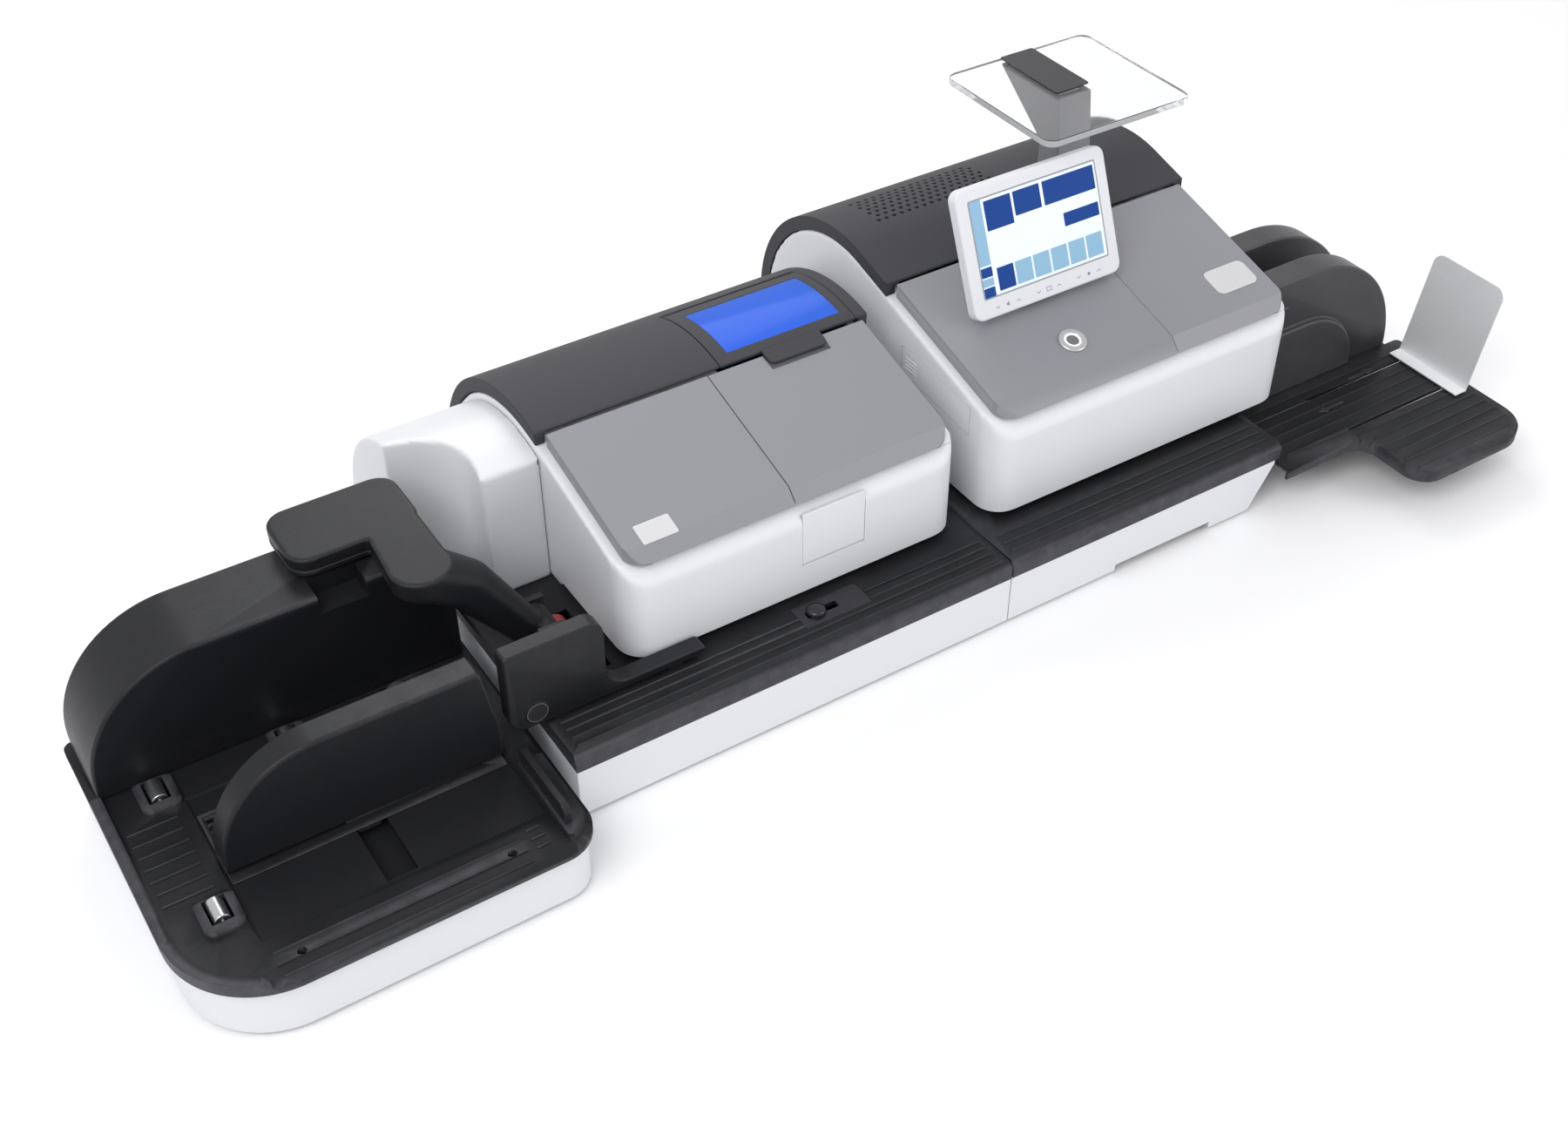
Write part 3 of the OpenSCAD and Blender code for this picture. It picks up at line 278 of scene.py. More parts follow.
@dataclass(frozen=True)
class Finish:
    """A moulded, rubber or metal finish with grain, tone, edge wear and dust.

    Attributes:
        name: Name of the finish.
        colour: Main colour.
        roughness: Middle roughness.
        grain: Scale of the surface texture.
        depth: Strength of the surface texture.
        tone: How far the colour drifts from place to place.
        edge: Colour of worn edges.
        wear: Amount of edge wear.
        dust: Amount of settled dust.
        metal: 1 for metals.
        coat: Weight of a clear gloss coat.
        stretch: Stretch of the grain along X, below 1 for brushed metal.
        glow: Strength of the light the surface gives off.
        shine: Strength of the surface's plain reflection.
    """

    name: str
    colour: Colour
    roughness: float = 0.5
    grain: float = 900.0
    depth: float = 0.05
    tone: float = 0.10
    edge: Colour = (0.6, 0.6, 0.6)
    wear: float = 0.35
    dust: float = 0.05
    metal: float = 0.0
    coat: float = 0.0
    stretch: float = 1.0
    glow: float = 0.0
    shine: float = 0.5

    def build(self) -> bpy.types.Material:
        """Makes the material, or returns it where it already exists."""
        found = bpy.data.materials.get(self.name)
        if found is not None:
            return found
        material, g, shader = new_material(self.name)
        grain = g.add("Group", node_tree=EFFECTS.get(Effect.GRAIN), Scale=self.grain, Stretch=self.stretch)
        wear = g.add("Group", node_tree=EFFECTS.get(Effect.WEAR), Amount=self.wear)
        dust = g.add("Group", node_tree=EFFECTS.get(Effect.DUST), Amount=self.dust)
        dark = tuple(c * (1.0 - self.tone) for c in self.colour)
        light = tuple(min(1.0, c * (1.0 + self.tone)) for c in self.colour)
        base = g.mix(grain.outputs["Tone"], dark, light)
        base = g.mix(wear.outputs["Mask"], base, self.edge)
        base = g.mix(dust.outputs["Mask"], base, DUST_COLOUR)
        g.link(base, shader.inputs["Base Color"])
        rough = g.math("ADD", g.math("MULTIPLY", grain.outputs["Tone"], 0.18), self.roughness - 0.09)
        rough = g.math("ADD", rough, g.math("MULTIPLY", dust.outputs["Mask"], 0.4), True)
        g.link(rough, shader.inputs["Roughness"])
        bump = g.add("Bump", Strength=self.depth, Distance=0.0006)
        g.link(grain.outputs["Height"], bump.inputs["Height"])
        g.link(bump.outputs[0], shader.inputs["Normal"])
        shader.inputs["Metallic"].default_value = self.metal
        shader.inputs["Coat Weight"].default_value = self.coat
        shader.inputs["Coat Roughness"].default_value = 0.08
        shader.inputs["Specular IOR Level"].default_value = self.shine
        if self.glow > 0.0:
            g.link(base, shader.inputs["Emission Color"])
            shader.inputs["Emission Strength"].default_value = self.glow
        return material


@dataclass(frozen=True)
class ClearFinish:
    """A clear or tinted plastic that light passes through.

    Attributes:
        name: Name of the finish.
        tint: Colour of the clear plastic.
        roughness: Middle roughness.
        ior: Index of refraction.
        through: How much light passes, from 0 to 1.
    """

    name: str
    tint: Colour
    roughness: float = 0.04
    ior: float = 1.46
    through: float = 1.0

    def build(self) -> bpy.types.Material:
        """Makes the material, or returns it where it already exists."""
        found = bpy.data.materials.get(self.name)
        if found is not None:
            return found
        material, g, shader = new_material(self.name)
        grain = g.add("Group", node_tree=EFFECTS.get(Effect.GRAIN), Scale=60.0)
        dark = tuple(c * 0.97 for c in self.tint)
        g.link(g.mix(grain.outputs["Tone"], dark, self.tint), shader.inputs["Base Color"])
        rough = g.math("ADD", g.math("MULTIPLY", grain.outputs["Tone"], 0.05), self.roughness, True)
        g.link(rough, shader.inputs["Roughness"])
        shader.inputs["IOR"].default_value = self.ior
        shader.inputs["Transmission Weight"].default_value = self.through
        return material


AnyFinish = Finish | ClearFinish

WHITE = Finish(
    "white_moulding", (0.70, 0.71, 0.745), 0.40, 1100, 0.05, 0.02, (0.84, 0.84, 0.86), 0.2, 0.02, coat=0.06
)
GRAPHITE = Finish(
    "graphite_moulding", (0.010, 0.0105, 0.013), 0.42, 700, 0.14, 0.18, (0.16, 0.16, 0.18), 0.5,
    0.008, shine=0.22
)
ARCH = Finish(
    "arch_black", (0.0065, 0.0065, 0.009), 0.40, 800, 0.08, 0.16, (0.07, 0.07, 0.08), 0.15, 0.002, shine=0.05
)
LID = Finish(
    "lid_grey", (0.135, 0.135, 0.15), 0.44, 1000, 0.08, 0.05, (0.36, 0.36, 0.39), 0.4, 0.02, shine=0.35
)
GLOSS = Finish(
    "gloss_black", (0.008, 0.008, 0.010), 0.22, 600, 0.02, 0.10, (0.3, 0.3, 0.3), 0.3, 0.02, coat=0.5
)
STEEL = Finish(
    "brushed_steel", (0.62, 0.63, 0.65), 0.30, 420, 0.06, 0.08, (0.85, 0.85, 0.86), 0.4, 0.02, 1.0, 0.0, 0.05
)
DARK_STEEL = Finish("dark_steel", (0.22, 0.22, 0.24), 0.34, 420, 0.06, 0.08, (0.6, 0.6, 0.62), 0.4, 0.02, 0.9)
SHEET = Finish(
    "brushed_sheet", (0.86, 0.87, 0.89), 0.38, 260, 0.25, 0.12, (0.97, 0.97, 0.98), 0.4, 0.0, 0.45, 0.0, 8.0
)
PLATE = Finish("satin_plate", (0.74, 0.74, 0.76), 0.34, 900, 0.04, 0.06, (0.9, 0.9, 0.9), 0.5, 0.0, 0.6)
RED = Finish("red_rubber", (0.42, 0.055, 0.045), 0.72, 800, 0.25, 0.15, (0.6, 0.2, 0.18), 0.5, 0.08)
RUBBER = Finish(
    "dark_rubber", (0.030, 0.030, 0.033), 0.78, 900, 0.30, 0.18, (0.15, 0.15, 0.15), 0.4, 0.06, shine=0.3
)
MOTOR = Finish("motor_can", (0.30, 0.31, 0.33), 0.42, 500, 0.08, 0.08, (0.7, 0.7, 0.7), 0.5, 0.05, 0.8)
# Painted light: the tank is no lamp, yet its blue glows to stand in for light in its blue plastic.
GLOWING_TANK = Finish(
    "tank_blue", (0.010, 0.085, 0.80), 0.30, 300, 0.03, 0.08, (0.2, 0.35, 0.95), 0.3, 0.0,
    glow=0.42, shine=0.3
)
TANK_DARK = Finish(
    "tank_shade", (0.006, 0.010, 0.035), 0.40, 300, 0.03, 0.08, (0.05, 0.08, 0.2), 0.2, 0.0, shine=0.1
)
INK = Finish("ink_blue", (0.02, 0.06, 0.30), 0.30, 500, 0.05, 0.08, (0.4, 0.45, 0.6), 0.4, 0.03)
BOARD = Finish("board_green", (0.02, 0.16, 0.06), 0.45, 350, 0.20, 0.22, (0.6, 0.5, 0.2), 0.4, 0.05)
COLUMN = Finish("column_grey", (0.24, 0.24, 0.265), 0.40, 900, 0.06, 0.05, (0.5, 0.5, 0.52), 0.4, 0.02)
HOOD = Finish(
    "hood_grey", (0.036, 0.036, 0.041), 0.40, 800, 0.10, 0.10, (0.20, 0.20, 0.22), 0.5, 0.01, shine=0.45
)
CAP = Finish("cap_grey", (0.065, 0.065, 0.075), 0.36, 900, 0.06, 0.08, (0.3, 0.3, 0.32), 0.6, 0.0)
STRAP = Finish(
    "strap_grey", (0.028, 0.028, 0.033), 0.40, 900, 0.08, 0.08, (0.25, 0.25, 0.27), 0.4, 0.01, shine=0.35
)
BRISTLE = Finish(
    "bristle", (0.72, 0.73, 0.75), 0.80, 260, 0.60, 0.12, (0.85, 0.85, 0.85), 0.2, 0.05, 0.0, 0.0, 6.0
)
ALLOY = Finish("alloy", (0.66, 0.67, 0.69), 0.36, 500, 0.06, 0.05, (0.9, 0.9, 0.9), 0.4, 0.02, 1.0)
LIT = Finish("lit_ring", (0.95, 0.90, 0.86), 0.30, 400, 0.02, 0.02, (1.0, 1.0, 1.0), 0.1, 0.0, glow=0.5)
ACRYLIC = ClearFinish("clear_acrylic", (0.985, 0.99, 0.995), 0.01, 1.45)
SMOKY = ClearFinish("smoky_pane", (0.07, 0.22, 0.95), 0.10, 1.12, 0.45)
POLISHED = ClearFinish("polished_edge", (0.92, 0.94, 0.96), 0.12, 1.12, 0.55)
SCREEN_WHITE = Finish(
    "screen_white", (0.74, 0.80, 0.88), 0.3, 1600, 0.01, 0.02, (1, 1, 1), 0.0, 0.0, glow=0.12, shine=0.3
)
SCREEN_PALE = Finish(
    "screen_pale", (0.24, 0.42, 0.58), 0.3, 1600, 0.01, 0.02, (1, 1, 1), 0.0, 0.0, glow=0.12, shine=0.3
)
SCREEN_DEEP = Finish(
    "screen_deep", (0.006, 0.045, 0.22), 0.3, 1600, 0.01, 0.03, (1, 1, 1), 0.0, 0.0, glow=0.2, shine=0.2
)
SCREEN_EDGE = Finish("screen_edge", (0.30, 0.32, 0.35), 0.3, 1600, 0.01, 0.03, (1, 1, 1), 0.0, 0.0)
ICON = Finish("icon_grey", (0.20, 0.21, 0.24), 0.5, 900, 0.02, 0.04, (0.5, 0.5, 0.5), 0.1, 0.0)
FLOOR = Finish("studio_floor", (0.90, 0.90, 0.915), 0.6, 40, 0.01, 0.01, (1, 1, 1), 0.0, 0.0)


# ------------------------------------------------------------------ mesh workshop


class Axis(Enum):
    """Direction that an outline is stretched along."""

    X = 0
    Y = 1
    Z = 2

    def place(self, u: float, v: float, w: float) -> Vector:
        """Returns the row point of outline point (u, v) at distance w along the axis."""
        if self is Axis.X:
            return at(w, u, v)
        if self is Axis.Y:
            return at(u, w, v)
        return at(u, v, w)


class Workshop:
    """Makes meshes and hands finished pieces to the frame."""

    @staticmethod
    def obj(name: str, bm: bmesh.types.BMesh) -> Piece:
        """Turns a bmesh into a linked object with clean normals."""
        bmesh.ops.recalc_face_normals(bm, faces=bm.faces[:])
        mesh = bpy.data.meshes.new(name)
        bm.to_mesh(mesh)
        bm.free()
        piece = bpy.data.objects.new(name, mesh)
        bpy.context.scene.collection.objects.link(piece)
        return piece

    @staticmethod
    def apply(piece: Piece) -> None:
        """Applies all modifiers of a piece."""
        graph = bpy.context.evaluated_depsgraph_get()
        mesh = bpy.data.meshes.new_from_object(piece.evaluated_get(graph))
        piece.modifiers.clear()
        piece.data = mesh

    @staticmethod
    def shade(piece: Piece, angle: float = 38.0) -> None:
        """Shades a piece smooth, with edges above the angle left sharp."""
        mesh = piece.data
        mesh.polygons.foreach_set("use_smooth", [True] * len(mesh.polygons))
        mesh.set_sharp_from_angle(angle=math.radians(angle))
        weighted = piece.modifiers.new("weighted", "WEIGHTED_NORMAL")
        weighted.keep_sharp = True
        Workshop.apply(piece)

    @staticmethod
    def offset(outline: list[Point2], distance: float) -> list[Point2]:
        """Moves each side of a closed anticlockwise outline inwards.

        Args:
            outline: Points of the outline.
            distance: How far the sides move.

        Returns:
            The smaller outline, with the same number of points.
        """
        count = len(outline)
        moved = []
        for i, (u, v) in enumerate(outline):
            a = Vector(outline[i - 1])
            b = Vector((u, v))
            c = Vector(outline[(i + 1) % count])
            into, out = (b - a).normalized(), (c - b).normalized()
            n1, n2 = Vector((-into.y, into.x)), Vector((-out.y, out.x))
            bisector = n1 + n2
            length = max(bisector.length, 0.4)
            bisector.normalize()
            step = distance * 2.0 / max(length, 0.75)
            moved.append((u + bisector.x * step, v + bisector.y * step))
        return moved

    @classmethod
    def prism(
        cls, name: str, axis: Axis, outline: list[Point2], lo: float, hi: float, soft: tuple[float, float]
    ) -> Piece:
        """Stretches an outline along an axis and rounds the edges of its two ends.

        Args:
            name: Name of the piece.
            axis: Direction of the stretch.
            outline: Closed anticlockwise outline.
            lo: Start along the axis.
            hi: End along the axis.
            soft: Radius of the rounding at the start and at the end.

        Returns:
            The new object.
        """
        bm = bmesh.new()
        rings = []
        steps = 5
        stations: list[tuple[float, float]] = []
        for i in range(steps + 1):
            a = math.radians(90.0 * i / steps)
            stations.append((lo + soft[0] * (1 - math.cos(a)), soft[0] * (1 - math.sin(a))))
            if soft[0] == 0:
                break
        for i in range(steps, -1, -1):
            a = math.radians(90.0 * i / steps)
            stations.append((hi - soft[1] * (1 - math.cos(a)), soft[1] * (1 - math.sin(a))))
            if soft[1] == 0:
                break
        for w, inset in stations:
            points = cls.offset(outline, inset) if inset else outline
            rings.append([bm.verts.new(axis.place(u, v, w)) for u, v in points])
        count = len(outline)
        for first, second in zip(rings, rings[1:]):
            for i in range(count):
                j = (i + 1) % count
                bm.faces.new((first[i], first[j], second[j], second[i]))
        bm.faces.new(rings[0][::-1])
        bm.faces.new(rings[-1])
        return cls.obj(name, bm)

    @classmethod
    def from_cad(cls, node: str, name: str, width: float, segments: int = 3, angle: float = 30.0) -> Piece:
        """Makes a piece from a CAD node with its sharp edges rounded.

        Args:
            node: The CAD node.
            name: Name of the piece.
            width: Width of the rounding, or 0 for none.
            segments: Faces across the rounding.
            angle: Edges sharper than this are rounded.

        Returns:
            The new object.
        """
        bm = bmesh.new()
        bm.from_mesh(frame["nodes"][node].data)
        bmesh.ops.remove_doubles(bm, verts=bm.verts[:], dist=0.00002)
        if width:
            bmesh.ops.dissolve_limit(bm, angle_limit=math.radians(0.3), verts=bm.verts[:], edges=bm.edges[:])
            limit = math.radians(angle)
            sharp = [e for e in bm.edges if len(e.link_faces) == 2 and e.calc_face_angle(0.0) > limit]
            bmesh.ops.bevel(
                bm, geom=sharp, offset=width * MM, segments=segments, profile=0.5,
                affect="EDGES", clamp_overlap=False, miter_outer="ARC",
            )
            bmesh.ops.remove_doubles(bm, verts=bm.verts[:], dist=0.00001)
            low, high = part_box(node)
            for vert in bm.verts:
                vert.co = Vector(min(max(c, a), b) for c, a, b in zip(vert.co, low, high))
        return cls.obj(name, bm)

    @classmethod
    def soften(cls, piece: Piece, voxel: float, passes: int) -> Piece:
        """Melts a piece's edges into soft mouldings.

        Args:
            piece: A closed piece.
            voxel: Size of the new faces.
            passes: How often the surface is smoothed.

        Returns:
            The same piece.
        """
        remesh = piece.modifiers.new("remesh", "REMESH")
        remesh.mode = "VOXEL"
        remesh.voxel_size = voxel * MM
        smooth = piece.modifiers.new("smooth", "SMOOTH")
        smooth.factor = 0.5
        smooth.iterations = passes
        cls.apply(piece)
        return piece

    @classmethod
    def cut(cls, piece: Piece, cutter: Piece, keep: bool = False) -> Piece:
        """Takes the cutter's space out of a piece, or keeps only that space."""
        change = piece.modifiers.new("cut", "BOOLEAN")
        change.operation = "INTERSECT" if keep else "DIFFERENCE"
        change.object = cutter
        change.solver = "EXACT"
        cls.apply(piece)
        bpy.data.objects.remove(cutter)
        return piece

    @classmethod
    def block(cls, lo: Point3, hi: Point3) -> Piece:
        """Makes a plain block that another piece is cut with."""
        outline = [(lo[0], lo[1]), (hi[0], lo[1]), (hi[0], hi[1]), (lo[0], hi[1])]
        return cls.prism("cutter", Axis.Z, outline, lo[2], hi[2], (0, 0))

    @staticmethod
    def settle(piece: Piece, nodes: tuple[str, ...], body: str, slot: str, finish: "AnyFinish") -> None:
        """Dresses a piece and hands it to its body.

        Args:
            piece: The finished mesh.
            nodes: CAD nodes that the piece stands for.
            body: CAD body that it rides on.
            slot: Material slot of the record; not used.
            finish: Finish of its surface.
        """
        if not piece.data.materials:
            piece.data.materials.append(finish.build())
        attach(piece, body)
        if nodes:
            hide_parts(*nodes)
        LOG.info("piece %s: %d faces", piece.name, len(piece.data.polygons))

    @classmethod
    def dress(cls, piece: Piece, nodes: tuple[str, ...], body: str, slot: str, finish: "AnyFinish") -> None:
        """Shades a piece and settles it."""
        cls.shade(piece)
        cls.settle(piece, nodes, body, slot, finish)


SHOP = Workshop()


def rounded(x0: float, y0: float, x1: float, y1: float, radii: Corners) -> list[Point2]:
    """Returns an anticlockwise rectangle with its own radius at each corner.

    Args:
        x0: Left side.
        y0: Lower side.
        x1: Right side.
        y1: Upper side.
        radii: Radii from the lower left corner, anticlockwise.

    Returns:
        The outline's points.
    """
    centres = ((x0, y0, 1, 1, 180), (x1, y0, -1, 1, 270), (x1, y1, -1, -1, 0), (x0, y1, 1, -1, 90))
    points: list[Point2] = []
    for (x, y, sx, sy, start), r in zip(centres, radii):
        steps = 8 if r > 2 else 3
        for i in range(steps + 1):
            a = math.radians(start + 90.0 * i / steps)
            points.append((x + sx * r + r * math.cos(a), y + sy * r + r * math.sin(a)))
            if r == 0:
                break
    return points


def quarter_round(x: float, z: float, r: float) -> list[Point2]:
    """Returns the quarter circle that ends a panel with its left edge at x and its top at z."""
    turns = (math.radians(90 - 90 * i / QUARTER_STEPS) for i in range(QUARTER_STEPS + 1))
    return [(x + r * (1 - math.cos(a)), z - r * (1 - math.sin(a))) for a in turns]


@dataclass(frozen=True)
class SideProfile:
    """Side outline of a housing: front wall, nose, sloping lid, arch and rear wall.

    Attributes:
        yc: Depth of the arch's centre.
        zc: Height of the arch's centre.
        r: Radius of the arch.
        front: Depth of the front wall.
        slope: Slope of the lid in degrees.
    """

    yc: float
    zc: float
    r: float
    front: float
    slope: float = LID_SLOPE

    def line(self, y: float, inset: float = 0.0) -> float:
        """Height of the sloping line at depth y."""
        a = math.radians(self.slope)
        r = self.r - inset
        return self.zc + r * math.cos(a) - (self.yc - r * math.sin(a) - y) * math.tan(a)

    def outline(self, base: float, inset: float, nose: float) -> list[Point2]:
        """Closed outline at an inset below the surface, anticlockwise.

        Args:
            base: Height of the lower edge.
            inset: How far the outline lies below the surface.
            nose: Height of the front wall below the sloping line.

        Returns:
            The outline's points as depth and height.
        """
        r = self.r - inset
        foot_y = self.yc + r
        if self.zc < base:
            foot_y = self.yc + math.sqrt(r * r - (base - self.zc) ** 2)
        points = [(self.front, base), (foot_y, base)]
        start = math.asin(max(base - self.zc, 0.0) / r)
        end = math.radians(90.0 + self.slope)
        for i in range(ARC_STEPS + 1):
            a = start + (end - start) * i / ARC_STEPS
            points.append((self.yc + r * math.cos(a), self.zc + r * math.sin(a)))
        points.append((self.front + nose, self.line(self.front + nose, inset)))
        points.append((self.front, self.line(self.front + nose, inset) - nose * 1.05))
        return points


# ------------------------------------------------------------------ units


@dataclass
class CarriedNodes:
    """CAD nodes whose shape is right and that only get rounded edges and a finish.

    Attributes:
        parts: Node name with its rounding width and finish.
    """

    parts: dict[str, tuple[float, "AnyFinish"]] = field(default_factory=lambda: {
        "feeder_casing": (2.2, WHITE), "feeder_tray": (0.0, GRAPHITE), "guide_carriage": (0.5, GRAPHITE),
        "arm_bracket": (0.8, GRAPHITE), "feed_gate": (1.8, GRAPHITE), "entry_fin": (1.0, GRAPHITE),
        "sealer_casing": (1.2, WHITE), "sealer_deck": (0.0, GRAPHITE), "sealer_rear_cover": (1.6, ARCH),
        "sealer_left_lid": (0.7, LID), "sealer_right_panel": (0.7, LID), "tank_lid": (0.8, ARCH),
        "front_flap": (0.6, WHITE), "lever_panel": (0.6, GLOSS),
        "wetting_brush": (0.4, BRISTLE), "main_casing": (1.2, WHITE), "main_deck": (0.0, GRAPHITE),
        "main_rear_cover": (0.0, ARCH), "main_left_panel": (0.0, LID), "main_right_lid": (0.7, LID),
        "side_flap": (0.3, WHITE), "display_stem": (1.0, GRAPHITE), "print_carriage": (0.8, GRAPHITE),
        "ink_cartridge": (1.2, INK), "feet": (1.0, RUBBER),
        "exit_hood": (2.4, HOOD), "catch_tray": (0.0, GRAPHITE), "stop_plate": (0.4, SHEET),
        "drive_motors": (0.8, MOTOR), "load_cell": (0.5, ALLOY), "transport_belt": (0.4, RUBBER),
        "steel_pins": (0.3, STEEL), "tray_roller_rear": (0.8, STEEL), "tray_roller_front": (0.8, STEEL),
        "tray_roller_wall": (0.8, STEEL), "feed_roller": (0.6, RED), "separation_roller": (0.6, RUBBER),
        "nudger_roller": (0.6, RUBBER), "seal_roller_lower": (0.6, RUBBER),
        "seal_roller_upper": (0.6, RUBBER),
        "transport_roller": (0.6, RUBBER), "transport_idler": (0.6, RUBBER), "tank_latch": (1.2, ARCH),
    })

    def make(self) -> None:
        """Builds and dresses every carried node."""
        record = frame["record"]
        slots = {p["node"]: p["material_slot"] for p in record["subparts"]}
        for node, (width, finish) in self.parts.items():
            piece = SHOP.from_cad(node, f"{node}_moulding", width)
            SHOP.shade(piece)
            body = frame["nodes"][node]["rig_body"]
            SHOP.settle(piece, (node,), body, slots[node], finish)


@dataclass
class Feeder:
    """Envelope feeder: rear wall, side guide and pressure arm.

    Attributes:
        wall: Left end, right end and foot of the rear wall.
        wall_depth: Front and rear of the rear wall.
        crown: Radius of the quarter-round ends.
    """

    wall: Point3 = (7.0, 329.0, 63.0)
    wall_depth: tuple[float, float] = (174.0, 253.0)
    crown: float = 106.0

    def make(self) -> None:
        """Builds the feeder's own shapes."""
        self.make_wall()
        self.make_guide()
        self.make_arm()
        # Adds a dark plate under the slot as painted shade.
        self.make_painted_slot_shade()

    def make_painted_slot_shade(self) -> None:
        """Dark plate below the slot that the side guide's foot runs in, put there as painted shade for the
        casing's shaded inside.
        """
        shade_sheet = SHOP.prism(
            "slot_shade_plate", Axis.Z, rounded(150, -66, 216, 100, (3, 3, 3, 3)), 45.0, 46.5, (0.3, 0.3)
        )
        SHOP.dress(shade_sheet, (), "root", "graphite", GRAPHITE)

    def make_wall(self) -> None:
        """Rear wall with a quarter-round left end and the notch for the arm."""
        x0, x1, z0 = self.wall
        z1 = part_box("feeder_wall")[1].z / MM
        outline = [(x0, z0), (x1, z0), (x1, z1 - 6), (x1 - 6, z1)] + quarter_round(x0, z1, self.crown)
        front, rear = self.wall_depth
        piece = SHOP.prism("rear_wall", Axis.Y, outline, front, rear, (3.0, 5.0))
        SHOP.cut(piece, SHOP.block((214, front - 1, z1 - 17), (256, front + 26, z1 + 1)))
        SHOP.dress(piece, ("feeder_wall",), "root", "graphite", GRAPHITE)

    def make_guide(self) -> None:
        """Side guide with a quarter-round left end and a slanted right end."""
        low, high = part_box("side_guide")
        x0, x1 = ((low.x - ROW_START.x) / MM, (high.x - ROW_START.x) / MM)
        y0, y1 = ((low.y - ROW_START.y) / MM, (high.y - ROW_START.y) / MM)
        z0, z1 = low.z / MM, high.z / MM
        r = z1 - z0 - 9
        outline = [(x0, z0), (x1, z0), (x1, z0 + 36), (x1 - 10, z1 - 5), (x1 - 14, z1)]
        outline += quarter_round(x0, z1, r)
        piece = SHOP.prism("guide_moulding", Axis.Y, outline, y0, y1, (3.5, 3.5))
        SHOP.dress(piece, ("side_guide",), "side_guide", "graphite", GRAPHITE)

    def make_arm(self) -> None:
        """Pressure arm of an upper and a lower moulding with soft edges."""
        for node, name in (("pressure_arm", "arm_upper"), ("arm_lower_shell", "arm_lower")):
            piece = SHOP.from_cad(node, name, 0.0)
            SHOP.soften(piece, 1.6, 6)
            SHOP.shade(piece, 60)
            SHOP.settle(piece, (node,), "pressure_arm", "graphite", GRAPHITE)


@dataclass
class Housing:
    """White housing shell of the sealer or of the franking unit.

    Attributes:
        node: CAD node that the shell stands for.
        profile: Side outline.
        ends: Left and right end along the row.
        openings: Lid openings, each as its low and high corner.
        deck: Height of the deck.
        slot: Height of the mail slot above the deck.
        skin: Depth of the lids and covers.
        corner: Radius of the two front corners in plan.
        side_hole: Outline of the flap's hole in the left side, as depth and height.
    """

    node: str
    profile: SideProfile
    ends: tuple[float, float]
    openings: list[tuple[Point3, Point3]]
    deck: float = DECK_TOP
    slot: float = 8.0
    skin: float = 14.0
    corner: float = 26.0
    side_hole: list[Point2] = field(default_factory=list)

    def make(self) -> None:
        """Builds the shell as a soft moulding with its real openings."""
        p, (x0, x1) = self.profile, self.ends
        outline = p.outline(self.deck + 0.2, self.skin, 16.0)
        piece = SHOP.prism(self.node + "_shell", Axis.X, outline, x0, x1, (0, 0))
        plan = rounded(x0, p.front, x1, p.yc + p.r + 5, (self.corner, self.corner, 0, 0))
        SHOP.cut(piece, SHOP.prism("cutter", Axis.Z, plan, 0, ABOVE_SHELL, (0, 0)), keep=True)
        SHOP.soften(piece, 2.8, 9)
        rear = p.yc + p.r - self.skin
        SHOP.cut(
            piece, SHOP.block((x0 - 5, p.front - 5, self.deck - 5), (x1 + 5, 196, self.deck + self.slot))
        )
        inner = p.outline(self.deck - 4, self.skin + 4.0, 16.0)
        inner = [(max(y, p.front + 4.0), z) for y, z in inner]
        cavity = SHOP.prism("cutter", Axis.X, inner, x0 + 4, x1 - 4, (0, 0))
        limit = rounded(x0 + 4, p.front + 4, x1 - 4, rear, (self.corner - 4, self.corner - 4, 0, 0))
        floor = self.deck + self.slot + 3
        SHOP.cut(cavity, SHOP.prism("limit", Axis.Z, limit, floor, ABOVE_SHELL, (0, 0)), keep=True)
        SHOP.cut(piece, cavity)
        for low, high in self.openings:
            SHOP.cut(piece, SHOP.block(low, high))
        if self.side_hole:
            SHOP.cut(piece, SHOP.prism("cutter", Axis.X, self.side_hole, x0 - 2, x0 + 8, (0, 0)))
        SHOP.shade(piece, 50)
        SHOP.settle(piece, (self.node,), "root", "white_shell", WHITE)


@dataclass
class CornerCover:
    """White cover to the left of the sealer with its soft flute."""

    voxel: float = 2.2
    passes: int = 9

    def make(self) -> None:
        """Builds the cover as a soft moulding."""
        piece = SHOP.from_cad("corner_cover", "corner_moulding", 0.0)
        SHOP.soften(piece, self.voxel, self.passes)
        SHOP.shade(piece, 60)
        SHOP.settle(piece, ("corner_cover",), "root", "white_shell", WHITE)


@dataclass
class Electronics:
    """Control board, power supply and mains inlet.

    Attributes:
        board_from: Height above which the pieces belong to the control board.
    """

    board_from: float = 90.0

    def make(self) -> None:
        """Builds the pieces and gives board and supply their own finish."""
        piece = SHOP.from_cad("electronics", "electronics_set", 0.6)
        SHOP.shade(piece)
        piece.data.materials.append(BOARD.build())
        piece.data.materials.append(GLOSS.build())
        for face in piece.data.polygons:
            face.material_index = 0 if face.center.z > self.board_from * MM else 1
        SHOP.settle(piece, ("electronics",), "root", "board_green", BOARD)


